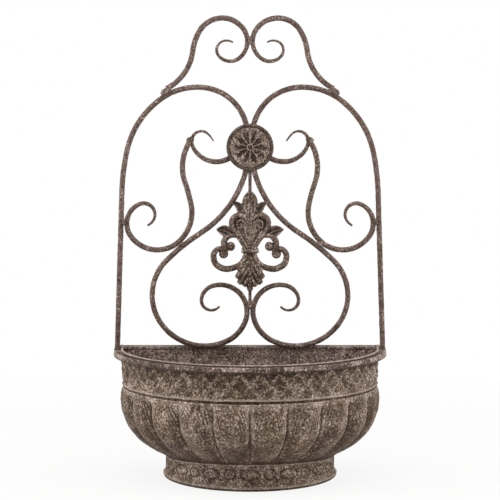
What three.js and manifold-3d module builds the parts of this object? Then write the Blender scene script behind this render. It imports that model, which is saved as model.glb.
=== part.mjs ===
import * as THREE from "three";
import { mergeVertices } from "three/addons/utils/BufferGeometryUtils.js";
import Module from "manifold-3d";

// Wall planter: a half-round basin of embossed sheet metal on a moulded foot, with a scrolled
// frame of round bar that stands on its rim and carries a rosette and a cast fleur-de-lis.
// Millimetres, +X right, +Y into the wall, +Z up. The pieces are laid out from the wall face,
// y = 0, and the last lines move the whole so that the origin is under its middle.

// General
const sheet = 1.2; // sheet metal of the basin
const seat = 0.3; // gap left between two pieces that touch
const chordError = 0.55; // most that a faceted bend departs from its arc

// Basin, from the foot up
const footRadius = 142; // outside of the foot's wall
const footHeight = 32; // at the wall
const footRise = 11; // how much higher the foot's top edge is at the front
const toeProud = 4.2; // rolled toe, beyond the foot's wall
const toeHeight = 10;
const bowlHeight = 116; // lobed bowl, foot to bead
const bowlSwell = 5.5; // crests of the lobes, beyond the bead
const bowlShoulder = 22; // from the bead down to the widest level
const lobeCount = 11; // a groove at the front, and half a lobe at each end
const lobeDepth = 9; // crest to groove
const lipWidth = 12; // flange turned in at the bowl's foot
const beadHeight = 4;
const beadProud = 1.2;
const bandHeight = 58; // latticed band, bead to rim
const bandDrawIn = 2.4; // the band narrows to its foot by this much
const rimRadius = 228.5; // half of the overall width
const rimWidth = 16.4;
const rimDrop = 10.3; // outer face of the rim
const rimLeg = 10; // leg of the rim inside the band
const flangeDip = 1; // flat of the rim below its inner bead
const plateAboveRim = 4.5;
const hemHeight = 6; // folded top edge of the back plate
const drainRadius = 6;
const keyholeSpacing = 304.8;
const keyholeDrop = 48; // slot's upper end below the rim
const keyholeHead = 5.5; // radius of the round end
const keyholeSlot = 2.6; // radius of the narrow end
const keyholeLength = 12;

// Frame of round bar. A bend is [radius of the centre line, turn in degrees], counter-clockwise
// turns positive, listed from the thick end of the left-hand bar to its tip.
const drawnHalfWidth = 222; // the bends below are for arch legs this far from the middle
const barRadius = 4.75;
const barSides = 8;
const rodRadius = 2.4;
const rodSides = 8;
const archInset = 6.5; // bar's centre from the rim's outer edge
const archLean = 88.05; // heading of the leg, in degrees from level
const archLeg = 260.4;
const archBends = [[395, -10], [147, -41], [104, -44.5], [81, -73.5]];
const rosetteRadius = 38.4;
const rosetteLap = 7.2; // bars run this far in behind the rosette
const crestSeatHeading = 26.8; // the crest bar lies along the arch where the arch has this slope
const crestBends = [[82.6, 56], [85.5, -23.7], [44.2, -110.8], [35.5, -90], [25.1, -85.3],
  [15.7, -113.2], [19, -50.3]];
const crestTip = 1.7;
const crestTaper = 170;
const hookAngle = 207; // where the hook leaves the rosette, about its centre
const hookHeading = -148.3;
const hookRun = 6.3; // straight before its first bend
const hookBends = [[43.2, -91.7], [23.9, -40.6], [15.6, -124.3], [60.6, -13.2]];
const hookTip = 1.6;
const hookTaper = 134;
const hookWeldAt = 94; // along the hook, where the S-scroll joins it
const scrollHeading = -128.5; // S-scroll
const scrollBends = [[80.5, 57.1], [284, -7.6], [67.4, -59.5], [54.8, -97.6], [36.6, -98.4],
  [19, -136.2], [21.2, -42.6]];
const scrollTip = 2.1;
const scrollTaper = 110;
const lowerHeading = -101.8; // lower C-scroll
const lowerBends = [[174.3, -45.3], [369.8, 11.5], [83.2, 89.5], [89.7, 70], [59.6, 48.9],
  [45.1, 122], [27.1, 64.7], [16.9, 147.2]];
const lowerTip = 2.2;
const lowerTaper = 130;
const lowerLap = 5.5; // the scroll's underside hangs this far in front of the back plate

// Castings
const rosetteThickness = 5;
const rosetteRing = 5.6; // width of the raised ring
const rosettePetals = 10;
const fleurGap = 19.2; // casting's lowest point above the loops' weld
const castingDepth = 8.5;

// Sizes that follow from these
const lipZ = footHeight + seat;
const beadZ = lipZ + bowlHeight;
const bandZ = beadZ + beadHeight + seat;
const bandTop = bandZ + bandHeight;
const flangeZ = bandTop + seat + sheet;
const rimInner = rimRadius - rimWidth;
const rimTop = flangeZ + flangeDip;
const plateTop = rimTop + plateAboveRim;
const bandInner = rimInner + sheet + seat;
const bandRadius = bandInner + sheet;
const beadRadius = bandRadius - bandDrawIn;
const bowlRadius = beadRadius + bowlSwell;
const ringBackY = -(sheet + seat); // the half-round pieces end just clear of the back plate
const frameFit = (rimRadius - archInset) / drawnHalfWidth;
const frameY = -(2 * sheet + seat + barRadius); // centre plane of the bars
const barFrontY = frameY - barRadius;

const iron = (color, roughness) => new THREE.MeshStandardMaterial({ color, roughness, metalness: 0.35 });
const barIron = iron(0x5c4d47, 0.75);
const castIron = iron(0x56473f, 0.8);
const basinSheet = iron(0x6e6154, 0.85);
const insideSheet = iron(0x4b403a, 0.9);
const weldMetal = iron(0x76695f, 0.8);

const wasm = await Module();
wasm.setup();

const degrees = Math.PI / 180;
const planter = new THREE.Group();

// ---------- solids ----------

// A closed body from its points and triangles, turned so that its faces point out.
function closedBody(points, triangles) {
  let volume = 0;
  for (const [a, b, c] of triangles) {
    volume += points[a].clone().cross(points[b]).dot(points[c]);
  }
  const faces = volume < 0 ? triangles.map(([a, b, c]) => [a, c, b]) : triangles;
  const geometry = new THREE.BufferGeometry().setFromPoints(points);
  return geometry.setIndex(faces.flat());
}

// Triangles that close a flat, possibly hollowed, section.
function capTriangles(section) {
  const normal = new THREE.Vector3();
  section.forEach((point, i) => {
    normal.add(point.clone().cross(section[(i + 1) % section.length]));
  });
  normal.normalize();
  const across = section[1].clone().sub(section[0]).projectOnPlane(normal).normalize();
  const up = normal.clone().cross(across);
  const flat = section.map((p) => new THREE.Vector2(p.dot(across), p.dot(up)));
  return THREE.ShapeUtils.triangulateShape(flat, []);
}

// A body through a run of closed sections that all have the same number of points.
function loft(sections) {
  const count = sections[0].length;
  const points = sections.flat();
  const triangles = [];
  for (let i = 0; i < sections.length - 1; i++) {
    for (let j = 0; j < count; j++) {
      const a = i * count + j;
      const b = i * count + ((j + 1) % count);
      triangles.push([a, b, b + count], [a, b + count, a + count]);
    }
  }
  const last = (sections.length - 1) * count;
  for (const [a, b, c] of capTriangles(sections[0])) {
    triangles.push([a, c, b]);
  }
  for (const [a, b, c] of capTriangles(sections[sections.length - 1])) {
    triangles.push([last + a, last + b, last + c]);
  }
  return closedBody(points, triangles);
}

function solid(geometry) {
  const bare = geometry.clone();
  bare.deleteAttribute("normal");
  bare.deleteAttribute("uv");
  const merged = mergeVertices(bare, 1e-4);
  return new wasm.Manifold(new wasm.Mesh({
    numProp: 3,
    vertProperties: merged.attributes.position.array,
    triVerts: new Uint32Array(merged.index.array),
  }));
}

function geometryOf(body) {
  const mesh = body.getMesh();
  const geometry = new THREE.BufferGeometry();
  geometry.setAttribute("position", new THREE.BufferAttribute(mesh.vertProperties, 3));
  return geometry.setIndex(new THREE.BufferAttribute(mesh.triVerts, 1));
}

// A cut can leave slivers beside the piece itself.
function largestPiece(body) {
  return body.decompose().reduce((best, one) => (one.volume() > best.volume() ? one : best));
}

function addNode(name, geometry, material) {
  const mesh = new THREE.Mesh(geometry, material);
  mesh.name = name;
  planter.add(mesh);
}

// Twin of a left-hand piece on the other side of the middle.
function mirrored(geometry) {
  const index = [...geometry.index.array];
  for (let i = 0; i < index.length; i += 3) {
    [index[i + 1], index[i + 2]] = [index[i + 2], index[i + 1]];
  }
  return geometry.clone().scale(-1, 1, 1).setIndex(index);
}

function addPair(name, geometry, material) {
  addNode(name + "_left", geometry, material);
  addNode(name + "_right", mirrored(geometry), material);
}

// ---------- basin ----------

// A sheet or moulding swept round the half circle. section(angle) gives [radius, z] points,
// the angle running from the left end at the wall, through the front, to the right end.
function halfRound(section, steps) {
  const sections = [];
  for (let i = 0; i <= steps; i++) {
    const angle = (Math.PI * i) / steps;
    sections.push(section(angle).map(([r, z]) => (
      new THREE.Vector3(-r * Math.cos(angle), ringBackY - r * Math.sin(angle), z)
    )));
  }
  return loft(sections);
}

const ringSteps = 36;

function rolledRim() {
  const dip = flangeZ;
  const face = rimTop - rimDrop;
  const section = [
    [rimInner, rimTop - rimLeg],
    [rimInner, rimTop - 0.8],
    [rimInner + 0.9, rimTop],
    [rimInner + 2, rimTop - 0.1],
    [rimInner + 3, dip],
    [rimRadius - 3.2, dip],
    [rimRadius - 1, dip - 1.8],
    [rimRadius, dip - 4.6],
    [rimRadius - 0.7, face],
    [rimRadius - 0.7 - sheet, face],
    [rimRadius - sheet, dip - 4.6],
    [rimRadius - 3.6, dip - sheet],
    [rimInner + sheet, dip - sheet],
    [rimInner + sheet, rimTop - rimLeg],
  ];
  return halfRound(() => section, ringSteps);
}

function latticeBand() {
  const waist = bandRadius - bandDrawIn / 3;
  const section = [
    [bandInner, bandTop],
    [bandRadius, bandTop],
    [bandRadius, bandTop - rimDrop],
    [waist, bandZ + bandHeight / 4],
    [beadRadius, bandZ],
    [beadRadius - sheet, bandZ],
    [waist - sheet, bandZ + bandHeight / 4],
    [bandInner, bandTop - rimLeg - sheet],
  ];
  return halfRound(() => section, ringSteps);
}

// Half section through the crest of a lobe, from under the bead down to the foot, with the
// share of the full groove depth that each point has.
function bowlCurve() {
  const widestZ = beadZ - bowlShoulder;
  const points = [];
  const shoulderSteps = 3;
  for (let i = 0; i < shoulderSteps; i++) {
    const turn = (Math.PI / 2) * (1 - i / shoulderSteps);
    const r = beadRadius + (bowlRadius - beadRadius) * Math.cos(turn);
    points.push({ r, z: widestZ + bowlShoulder * Math.sin(turn) });
  }
  const side = new THREE.CubicBezierCurve(
    new THREE.Vector2(bowlRadius, widestZ),
    new THREE.Vector2(bowlRadius, widestZ - 0.48 * (widestZ - lipZ)),
    new THREE.Vector2(
      footRadius + 0.53 * (bowlRadius - footRadius), lipZ + 0.19 * (widestZ - lipZ)),
    new THREE.Vector2(footRadius, lipZ + sheet),
  );
  for (const p of side.getPoints(7)) {
    points.push({ r: p.x, z: p.y });
  }
  const span = beadZ - lipZ;
  return points.map(({ r, z }, i) => {
    const before = points[Math.max(i - 1, 0)];
    const after = points[Math.min(i + 1, points.length - 1)];
    const out = new THREE.Vector2(before.z - after.z, after.r - before.r).normalize();
    const down = Math.min(1, (beadZ - z) / (span - sheet));
    const full = Math.min(1, Math.sqrt(down / 0.16)) * (1 - down ** 8);
    const drop = THREE.MathUtils.smoothstep(down, 0.25, 1);
    return { r, z, out, full, drop };
  });
}

const bowlSide = bowlCurve();

// Section of the bowl at an angle: bead and outside from the top down, then the inside.
function bowlSection(angle) {
  const across = ((angle / Math.PI) * lobeCount + 0.5) % 1;
  const fromCrest = Math.abs(2 * across - 1);
  const groove = 1 - Math.sqrt(1 - 0.97 * fromCrest * fromCrest);
  const rise = footRise * Math.sin(angle);
  const at = (point, thickness) => {
    const inward = lobeDepth * point.full * groove + thickness;
    return [point.r - point.out.x * inward, point.z - point.out.y * inward + point.drop * rise];
  };
  const outside = bowlSide.map((point) => at(point, 0));
  const innerPoints = bowlSide.filter((point, i) => i % 2 === 0 || i === bowlSide.length - 1);
  const inside = innerPoints.map((point) => at(point, sheet)).reverse();
  const foot = outside[outside.length - 1];
  inside[0] = [foot[0] - sheet, lipZ + rise + sheet];
  const lip = [
    [foot[0] - seat, lipZ + rise],
    [footRadius - lipWidth, lipZ + rise],
    [footRadius - lipWidth, lipZ + rise + sheet],
  ];
  const top = beadZ + beadHeight;
  return [
    [beadRadius - sheet, top],
    [beadRadius + beadProud / 3, top],
    [beadRadius + beadProud, beadZ + 0.65 * beadHeight],
    [beadRadius + beadProud, beadZ + 0.35 * beadHeight],
    ...outside,
    ...lip,
    ...inside,
  ];
}

// Inside radius of the bowl's grooves at a level, for what is fitted into it.
function grooveRadius(angle, z) {
  const rise = footRise * Math.sin(angle);
  const points = bowlSide.map((p) => {
    const inward = lobeDepth * p.full + sheet;
    return [p.r - p.out.x * inward, p.z - p.out.y * inward + p.drop * rise];
  });
  for (let i = points.length - 1; i > 0; i--) {
    const [lowR, lowZ] = points[i];
    const [highR, highZ] = points[i - 1];
    if (z >= lowZ && z <= highZ) {
      return lowR + ((highR - lowR) * (z - lowZ)) / (highZ - lowZ);
    }
  }
  return points[points.length - 1][0];
}

function footBand() {
  const toe = footRadius + toeProud;
  return halfRound((angle) => {
    const top = footHeight + footRise * Math.sin(angle);
    return [
      [footRadius - sheet, top],
      [footRadius, top],
      [footRadius, toeHeight + 1],
      [footRadius + 0.3 * toeProud, 0.8 * toeHeight],
      [toe - 0.4, 0.65 * toeHeight],
      [toe, 0.4 * toeHeight],
      [toe - 1, 0.12 * toeHeight],
      [toe - 2.4, 0],
      [footRadius, 0],
      [footRadius - sheet, sheet],
    ];
  }, ringSteps);
}

// Level half disc that rests on the bowl's lip at the front and meets the grooves' inside.
function floorPlate() {
  const z = lipZ + footRise + sheet + seat;
  const shape = new THREE.Shape();
  for (let i = 0; i <= ringSteps; i++) {
    const angle = (Math.PI * i) / ringSteps;
    const r = grooveRadius(angle, z) - 3 * seat;
    const x = -r * Math.cos(angle);
    const y = ringBackY - seat - r * Math.sin(angle);
    if (i) shape.lineTo(x, y);
    else shape.moveTo(x, y);
  }
  const drain = new THREE.Path();
  drain.absarc(0, -footRadius / 2, drainRadius, 0, 2 * Math.PI, true);
  shape.holes.push(drain);
  return new THREE.ExtrudeGeometry(shape, { depth: sheet, bevelEnabled: false, curveSegments: 8 })
    .translate(0, 0, z);
}

// Flat back, cut to the basin's outline, with a folded top edge and two keyhole slots.
function backPlate() {
  const half = bowlSection(0).slice(4, 4 + bowlSide.length);
  const edge = [
    [bandRadius, plateTop],
    [bandRadius, bandZ + bandHeight / 4],
    [beadRadius, bandZ],
    ...half,
    [footRadius, footHeight],
    [footRadius, toeHeight + 1],
    [footRadius + toeProud, 0.4 * toeHeight],
    [footRadius + toeProud - 2.4, 0],
  ];
  const outline = [...edge, ...edge.map(([x, z]) => [-x, z]).reverse()];
  const shape = new THREE.Shape(outline.map(([x, z]) => new THREE.Vector2(x, z)));
  const upright = (flat, depth) => (
    new THREE.ExtrudeGeometry(flat, { depth, bevelEnabled: false, curveSegments: 6 })
      .rotateX(Math.PI / 2)
  );
  const hemHalf = rimInner - sheet;
  const hem = new THREE.Shape();
  hem.moveTo(-hemHalf, plateTop - hemHeight);
  hem.lineTo(hemHalf, plateTop - hemHeight);
  hem.lineTo(hemHalf, plateTop);
  hem.lineTo(-hemHalf, plateTop);
  let plate = solid(upright(shape, sheet)).add(solid(upright(hem, 2 * sheet)));
  for (const side of [-1, 1]) {
    const slotTop = rimTop - keyholeDrop;
    const x = (side * keyholeSpacing) / 2;
    const slot = new THREE.Shape();
    slot.absarc(x, slotTop - keyholeSlot, keyholeSlot, 0, Math.PI, false);
    slot.lineTo(x - keyholeSlot, slotTop - keyholeLength);
    slot.lineTo(x + keyholeSlot, slotTop - keyholeLength);
    const head = new THREE.Shape();
    head.absarc(x, slotTop - keyholeLength - keyholeHead / 2, keyholeHead, 0, 2 * Math.PI, false);
    const through = (flat) => solid(upright(flat, 4 * sheet).translate(0, sheet, 0));
    plate = plate.subtract(through(slot)).subtract(through(head));
  }
  return geometryOf(plate);
}

addNode("rolled_rim", rolledRim(), basinSheet);
addNode("lattice_band", latticeBand(), basinSheet);
addNode("gadrooned_bowl", halfRound(bowlSection, 6 * lobeCount), basinSheet);
addNode("foot_band", footBand(), basinSheet);
addNode("floor_plate", floorPlate(), insideSheet);
addNode("back_plate", backPlate(), insideSheet);

// ---------- bars ----------

// Stations {x, z, heading, s} along a bar: a straight run, then its bends.
function bendBar(start, heading, run, bends) {
  const stations = [{ x: start.x, z: start.z, heading: heading * degrees, s: 0 }];
  const last = () => stations[stations.length - 1];
  if (run > 0) {
    const from = last();
    stations.push({
      x: from.x + run * Math.cos(from.heading),
      z: from.z + run * Math.sin(from.heading),
      heading: from.heading,
      s: run,
    });
  }
  for (const [radius, turnDegrees] of bends) {
    const turn = turnDegrees * degrees;
    const finest = 2 * Math.acos(1 - chordError / radius);
    const steps = Math.max(2, Math.ceil(Math.abs(turn) / finest));
    const from = last();
    const side = Math.sign(turn);
    for (let i = 1; i <= steps; i++) {
      const heading = from.heading + (turn * i) / steps;
      stations.push({
        x: from.x + side * radius * (Math.sin(heading) - Math.sin(from.heading)),
        z: from.z - side * radius * (Math.cos(heading) - Math.cos(from.heading)),
        heading,
        s: from.s + (radius * Math.abs(turn) * i) / steps,
      });
    }
  }
  return stations;
}

const scaled = (bends, k) => bends.map(([radius, turn]) => [radius * k, turn]);

// Bars keep their full thickness, then taper to the tip over the last stretch.
function withTaper(stations, tip, taper) {
  const length = stations[stations.length - 1].s;
  return stations.map((station) => {
    const along = Math.max(0, (station.s - (length - taper)) / taper);
    return { ...station, radius: barRadius - (barRadius - tip) * along ** 1.5 };
  });
}

// Point of a bar at a length along it.
function stationAt(stations, s) {
  const i = Math.max(1, stations.findIndex((station) => station.s >= s));
  const [a, b] = [stations[i - 1], stations[i]];
  const share = (s - a.s) / (b.s - a.s);
  const mix = (key) => a[key] + (b[key] - a[key]) * share;
  return { x: mix("x"), z: mix("z"), heading: mix("heading"), radius: mix("radius") };
}

// Point of a bar where its slope has come round to an angle.
function stationFacing(stations, heading) {
  const i = stations.findIndex((station) => station.heading <= heading * degrees);
  const [a, b] = [stations[i - 1], stations[i]];
  const share = (heading * degrees - a.heading) / (b.heading - a.heading);
  return stationAt(stations, a.s + (b.s - a.s) * share);
}

// Narrowest gap between two bars, and where it is.
function narrowest(bar, other) {
  let best = { gap: Infinity };
  for (const [one, two] of [[bar, other], [other, bar]]) {
    for (const p of one) {
      for (let i = 1; i < two.length; i++) {
        const [a, b] = [two[i - 1], two[i]];
        const along = (b.x - a.x) ** 2 + (b.z - a.z) ** 2;
        const share = THREE.MathUtils.clamp(
          ((p.x - a.x) * (b.x - a.x) + (p.z - a.z) * (b.z - a.z)) / along, 0, 1);
        const x = a.x + (b.x - a.x) * share;
        const z = a.z + (b.z - a.z) * share;
        const gap = Math.hypot(p.x - x, p.z - z) - p.radius - a.radius;
        if (gap < best.gap) best = { gap, x: (p.x + x) / 2, z: (p.z + z) / 2, heading: p.heading };
      }
    }
  }
  return best;
}

const rightEdge = (bar) => Math.max(...bar.map((p) => p.x + p.radius));
const underside = (bar) => Math.min(...bar.map((p) => p.z - p.radius));

// Size and turn of a scroll that bring both of its gaps to nothing, by Newton's method.
function settle(misfit, size, turn) {
  const nudge = 1e-4;
  const mostSize = 0.02;
  const mostTurn = 1;
  for (let round = 0; round < 80; round++) {
    const [a, b] = misfit(size, turn);
    const [aSize, bSize] = misfit(size + nudge, turn).map((v, i) => (v - [a, b][i]) / nudge);
    const [aTurn, bTurn] = misfit(size, turn + nudge).map((v, i) => (v - [a, b][i]) / nudge);
    const det = aSize * bTurn - aTurn * bSize;
    const sizeStep = (a * bTurn - b * aTurn) / det;
    const turnStep = (b * aSize - a * bSize) / det;
    const slow = Math.max(1, Math.abs(sizeStep) / mostSize, Math.abs(turnStep) / mostTurn);
    size -= sizeStep / slow;
    turn -= turnStep / slow;
  }
  return [size, turn];
}

function roundBar(stations, sides = barSides, grow = 0) {
  return loft(stations.map((p) => {
    const ring = [];
    for (let i = 0; i < sides; i++) {
      const angle = (2 * Math.PI * i) / sides;
      const across = (p.radius + grow) * Math.cos(angle);
      ring.push(new THREE.Vector3(
        p.x - across * Math.sin(p.heading),
        frameY + (p.radius + grow) * Math.sin(angle),
        p.z + across * Math.cos(p.heading),
      ));
    }
    return ring;
  }));
}

// Arch: a leg on the rim's flat, then bends sized so that the end meets the other arch's end.
const archStart = { x: -(rimRadius - archInset), z: flangeZ + seat };
const middle = -(barRadius + seat / 2);
const legLength = archLeg * frameFit;
const leg = bendBar(archStart, archLean, legLength, []);
const archOver = bendBar(leg[1], archLean, 0, archBends);
const archScale = (middle - leg[1].x) / (archOver[archOver.length - 1].x - leg[1].x);
const arch = withTaper(
  bendBar(archStart, archLean, legLength, scaled(archBends, archScale)), barRadius, 1);
const rosetteZ = arch[arch.length - 1].z + rosetteLap - rosetteRadius;

// Crest scroll: lies along the outside of the arch, and its loop meets the other crest's.
const crestSeat = stationFacing(arch, crestSeatHeading);
const offArch = 2 * barRadius + seat;
const crestStart = {
  x: crestSeat.x - offArch * Math.sin(crestSeat.heading),
  z: crestSeat.z + offArch * Math.cos(crestSeat.heading),
};
const crestOf = (size) => withTaper(
  bendBar(crestStart, crestSeat.heading / degrees, 0, scaled(crestBends, size)),
  crestTip, crestTaper * frameFit);
let crestSize = frameFit;
for (let round = 0; round < 20; round++) {
  const reach = rightEdge(crestOf(crestSize)) - crestStart.x;
  crestSize *= (-seat / 2 - crestStart.x) / reach;
}
const crest = crestOf(crestSize);

// Hook scroll: springs from behind the rosette.
const hookRoot = rosetteRadius - rosetteLap;
const hook = withTaper(bendBar({
  x: hookRoot * Math.cos(hookAngle * degrees),
  z: rosetteZ + hookRoot * Math.sin(hookAngle * degrees),
}, hookHeading, hookRun, scaled(hookBends, frameFit)), hookTip, hookTaper * frameFit);

// Lower scroll: hangs from behind the rosette, meets its twin and laps the back plate.
const lowerStart = { x: middle - seat, z: rosetteZ - rosetteRadius + rosetteLap };
const lowerOf = (size, turn) => withTaper(
  bendBar(lowerStart, lowerHeading + turn, 0, scaled(lowerBends, size)),
  lowerTip, lowerTaper * frameFit);
const loopsOnly = (bar) => bar.filter((p) => p.z < (lowerStart.z + plateTop) / 2);
const lower = lowerOf(...settle((size, turn) => {
  const bar = lowerOf(size, turn);
  return [rightEdge(loopsOnly(bar)) + seat / 2, underside(bar) - (plateTop - lowerLap)];
}, frameFit, 0));

const loopZ = loopsOnly(lower).reduce((a, b) => (b.x + b.radius > a.x + a.radius ? b : a)).z;

// S-scroll: from the hook's outer side, against the lower scroll and against the arch.
const scrollStart = stationAt(hook, hookWeldAt * frameFit);
const scrollOf = (size, turn) => withTaper(
  bendBar(scrollStart, scrollHeading + turn, 0, scaled(scrollBends, size)),
  scrollTip, scrollTaper * frameFit);
const scroll = scrollOf(...settle((size, turn) => {
  const bar = scrollOf(size, turn);
  return [narrowest(bar, arch).gap - seat, narrowest(bar, lower).gap - seat];
}, frameFit, 0));

addPair("arch_bar", roundBar(arch), barIron);
addPair("crest_scroll", roundBar(crest), barIron);
addPair("hook_scroll", roundBar(hook), barIron);
addPair("lower_scroll", roundBar(lower), barIron);
const copedScroll = solid(roundBar(scroll)).subtract(solid(roundBar(hook, barSides, seat)));
addPair("s_scroll", geometryOf(largestPiece(copedScroll)), barIron);

// Centre rod: wedged between the lower scrolls, under the rosette and above their loops.
const rodMiddle = (lowerStart.z + loopZ) / 2;
function rodEnd(step) {
  const edge = (z) => ({ x: -rodRadius, z, radius: 0 });
  const most = Math.abs(lowerStart.z - rodMiddle);
  let z = rodMiddle;
  while (narrowest([edge(z), edge(z + step)], lower).gap > seat && Math.abs(z - rodMiddle) < most) {
    z += step;
  }
  return z;
}

const rodStep = 0.1;
const rodTop = Math.min(rodEnd(rodStep), lowerStart.z);
const rodBottom = rodEnd(-rodStep);
const rod = [rodBottom, rodTop].map((z) => ({ x: 0, z, heading: Math.PI / 2, radius: rodRadius }));
addNode("centre_rod", roundBar(rod, rodSides), barIron);

// ---------- castings ----------

// Cast disc with a flat back: a raised ring round a shallow dome of hollow petals.
function rosette() {
  const steps = 4 * rosettePetals;
  const field = rosetteRadius - rosetteRing;
  const boss = field / 6;
  const rings = [
    [rosetteRadius, 0], [rosetteRadius, 0.55], [rosetteRadius - rosetteRing / 2, 1],
    [field, 0.5], [0.78 * field, 0.72], [0.5 * field, 0.8], [boss + 1, 0.7], [boss * 0.7, 1],
  ];
  const points = [];
  const triangles = [];
  const back = barFrontY - seat;
  for (const [r, height] of rings) {
    const inPetals = r < 0.8 * field && r > boss;
    for (let i = 0; i < steps; i++) {
      const angle = Math.PI / 2 + (2 * Math.PI * i) / steps;
      const ridge = Math.abs(Math.cos((rosettePetals * (angle - Math.PI / 2)) / 2));
      const lift = inPetals ? height - 0.45 * (1 - ridge) : height;
      points.push(new THREE.Vector3(
        r * Math.cos(angle), back - rosetteThickness * lift, rosetteZ + r * Math.sin(angle)));
    }
  }
  for (let k = 0; k < rings.length - 1; k++) {
    for (let i = 0; i < steps; i++) {
      const a = k * steps + i;
      const b = k * steps + ((i + 1) % steps);
      triangles.push([a, b, b + steps], [a, b + steps, a + steps]);
    }
  }
  const inner = (rings.length - 1) * steps;
  for (let i = 1; i < steps - 1; i++) {
    triangles.push([0, i + 1, i], [inner, inner + i, inner + i + 1]);
  }
  return closedBody(points, triangles);
}

addNode("rosette", rosette(), castIron);

const fleurBackY = frameY - rodRadius - seat;
const fleurFoot = 67.5; // from the collar down to the lowest lobe
const fleurZ = rodBottom + fleurGap + fleurFoot;

// Domed, flat-backed leaf or band of the casting along a curve through [x, z] points, whose
// half width at each point is given; z counts from the collar.
function leaf(points, widths, height, steps = 6) {
  const curve = new THREE.CatmullRomCurve3(
    points.map(([x, z]) => new THREE.Vector3(x, 0, z)), false, "centripetal");
  const sections = [];
  for (let i = 0; i <= steps; i++) {
    const t = i / steps;
    const at = curve.getPoint(t);
    const along = curve.getTangent(t);
    const k = Math.min(t * (widths.length - 1), widths.length - 1.001);
    const low = Math.floor(k);
    const w = widths[low] + (widths[low + 1] - widths[low]) * (k - low);
    const rise = height * Math.min(1, 0.45 + w / 8);
    sections.push([[-1, 0], [-0.55, 0.9], [0.55, 0.9], [1, 0]].map(([across, up]) => (
      new THREE.Vector3(
        at.x - across * w * along.z, fleurBackY - up * rise, fleurZ + at.z + across * w * along.x)
    )));
  }
  return solid(loft(sections));
}

function knob(x, z, radius) {
  const dome = new THREE.SphereGeometry(1, 10, 6).scale(radius, castingDepth, radius);
  const ball = solid(dome.translate(x, fleurBackY, fleurZ + z));
  const front = new THREE.BoxGeometry(4 * radius, 2 * castingDepth, 4 * radius);
  return ball.intersect(solid(front.translate(x, fleurBackY - castingDepth, fleurZ + z)));
}

// Fleur-de-lis: leaves and volutes gathered by a collar, over a fan of overlapping lobes.
function fleur() {
  const deep = castingDepth;
  const onePerSide = [
    leaf([[-5, 44], [-10, 58], [-17, 72], [-25, 78.5], [-29, 78]], [3, 5.5, 5, 3, 1], 0.6 * deep),
    leaf([[-7, 50], [-17, 57], [-27, 53], [-29, 42], [-20, 24], [-11, 6]],
      [2, 4, 5, 5, 3.5, 3], 0.85 * deep, 9),
    leaf([[-26, 26], [-38, 31], [-47, 33], [-54.5, 36]], [4, 8, 6.5, 0.6], 0.5 * deep),
    leaf([[-7, 0], [-13, 18], [-24, 26], [-36, 25], [-42.5, 14], [-38, 3]],
      [3, 3.6, 4, 4.6, 4.4, 4], 0.8 * deep, 9),
    leaf([[-6, -2], [-14, -20], [-28, -29], [-44, -30], [-58, -21], [-60.5, -6], [-53, 3.5], [-44, 1]],
      [4, 4.4, 5, 5.2, 5.4, 5, 4.4, 4], 0.8 * deep, 12),
    knob(-32.3, 7.1, 7.6),
    knob(-43.7, -5.2, 7.6),
    leaf([[-5, -14], [-12, -24], [-19, -35], [-22, -41]], [4, 6, 6.5, 2.5], 0.7 * deep),
    leaf([[-3, -24], [-11, -37], [-18, -48], [-21, -54]], [4, 6, 6.5, 3], 0.8 * deep),
    leaf([[-1, -34], [-5, -46], [-10, -57], [-12, -62]], [4, 5.5, 5.5, 2.5], 0.9 * deep),
  ];
  const central = [
    leaf([[0, 42], [0, 62], [0, 80], [0, 92], [0, 100]], [4, 11, 13.6, 9, 1], deep, 8),
    leaf([[0, 54], [0, 42], [0, 28], [0, 4]], [12, 20, 13, 7], 0.6 * deep),
    leaf([[0, 14], [0, -14], [0, -30]], [8.6, 9.4, 12], 0.55 * deep),
    leaf([[0, -30], [0, -48], [0, -60], [0, -fleurFoot]], [3, 6.5, 8, 5], deep),
    leaf([[-14, 0], [-9, 0], [9, 0], [14, 0]], [3.4, 4.4, 4.4, 3.4], 1.1 * deep),
  ];
  let body = central[0];
  for (const piece of central.slice(1)) body = body.add(piece);
  for (const piece of onePerSide) {
    const twin = solid(mirrored(geometryOf(piece)));
    body = body.add(piece).add(twin);
  }
  const clearOf = solid(roundBar(lower, barSides, seat));
  const twinClear = solid(mirrored(roundBar(lower, barSides, seat)));
  return geometryOf(largestPiece(body.subtract(clearOf).subtract(twinClear)));
}

addNode("fleur_casting", fleur(), castIron);

// ---------- welds ----------

// Bead of weld metal beside a joint: a lump, long along the joint, less all that it clears.
function weldBead({ x, z, heading = 0 }, [length, depth, width], y, clearOf) {
  const lump = new THREE.SphereGeometry(1, 6, 4).scale(length, depth, width)
    .rotateY(-heading).translate(x, y, z);
  return geometryOf(largestPiece(clearOf.reduce((bead, other) => bead.subtract(other), solid(lump))));
}

const grown = (bar) => solid(roundBar(bar, barSides, seat));
const grownTwin = (bar) => solid(mirrored(roundBar(bar, barSides, seat)));
const valleyY = frameY - 0.8 * barRadius; // in the front valley between two bars
const valleyDepth = 0.75 * barRadius;
const upright = Math.PI / 2;
const crestLoopZ = crest.reduce((a, b) => (b.x + b.radius > a.x + a.radius ? b : a)).z;
addNode("weld_crest_centre", weldBead(
  { x: 0, z: crestLoopZ, heading: upright }, [8, valleyDepth, 3.4], valleyY,
  [grown(crest), grownTwin(crest)]), weldMetal);
addNode("weld_lower_centre", weldBead(
  { x: 0, z: rodBottom - barRadius, heading: upright }, [8, valleyDepth, 4.6], valleyY,
  [grown(lower), grownTwin(lower), solid(roundBar(rod, rodSides, seat))]), weldMetal);
addPair("weld_crest_foot", weldBead({
  x: (crestSeat.x + crestStart.x) / 2 - 3,
  z: (crestSeat.z + crestStart.z) / 2,
  heading: crestSeat.heading,
}, [10, valleyDepth, 4.6], valleyY, [grown(crest), grown(arch)]), weldMetal);
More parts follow.
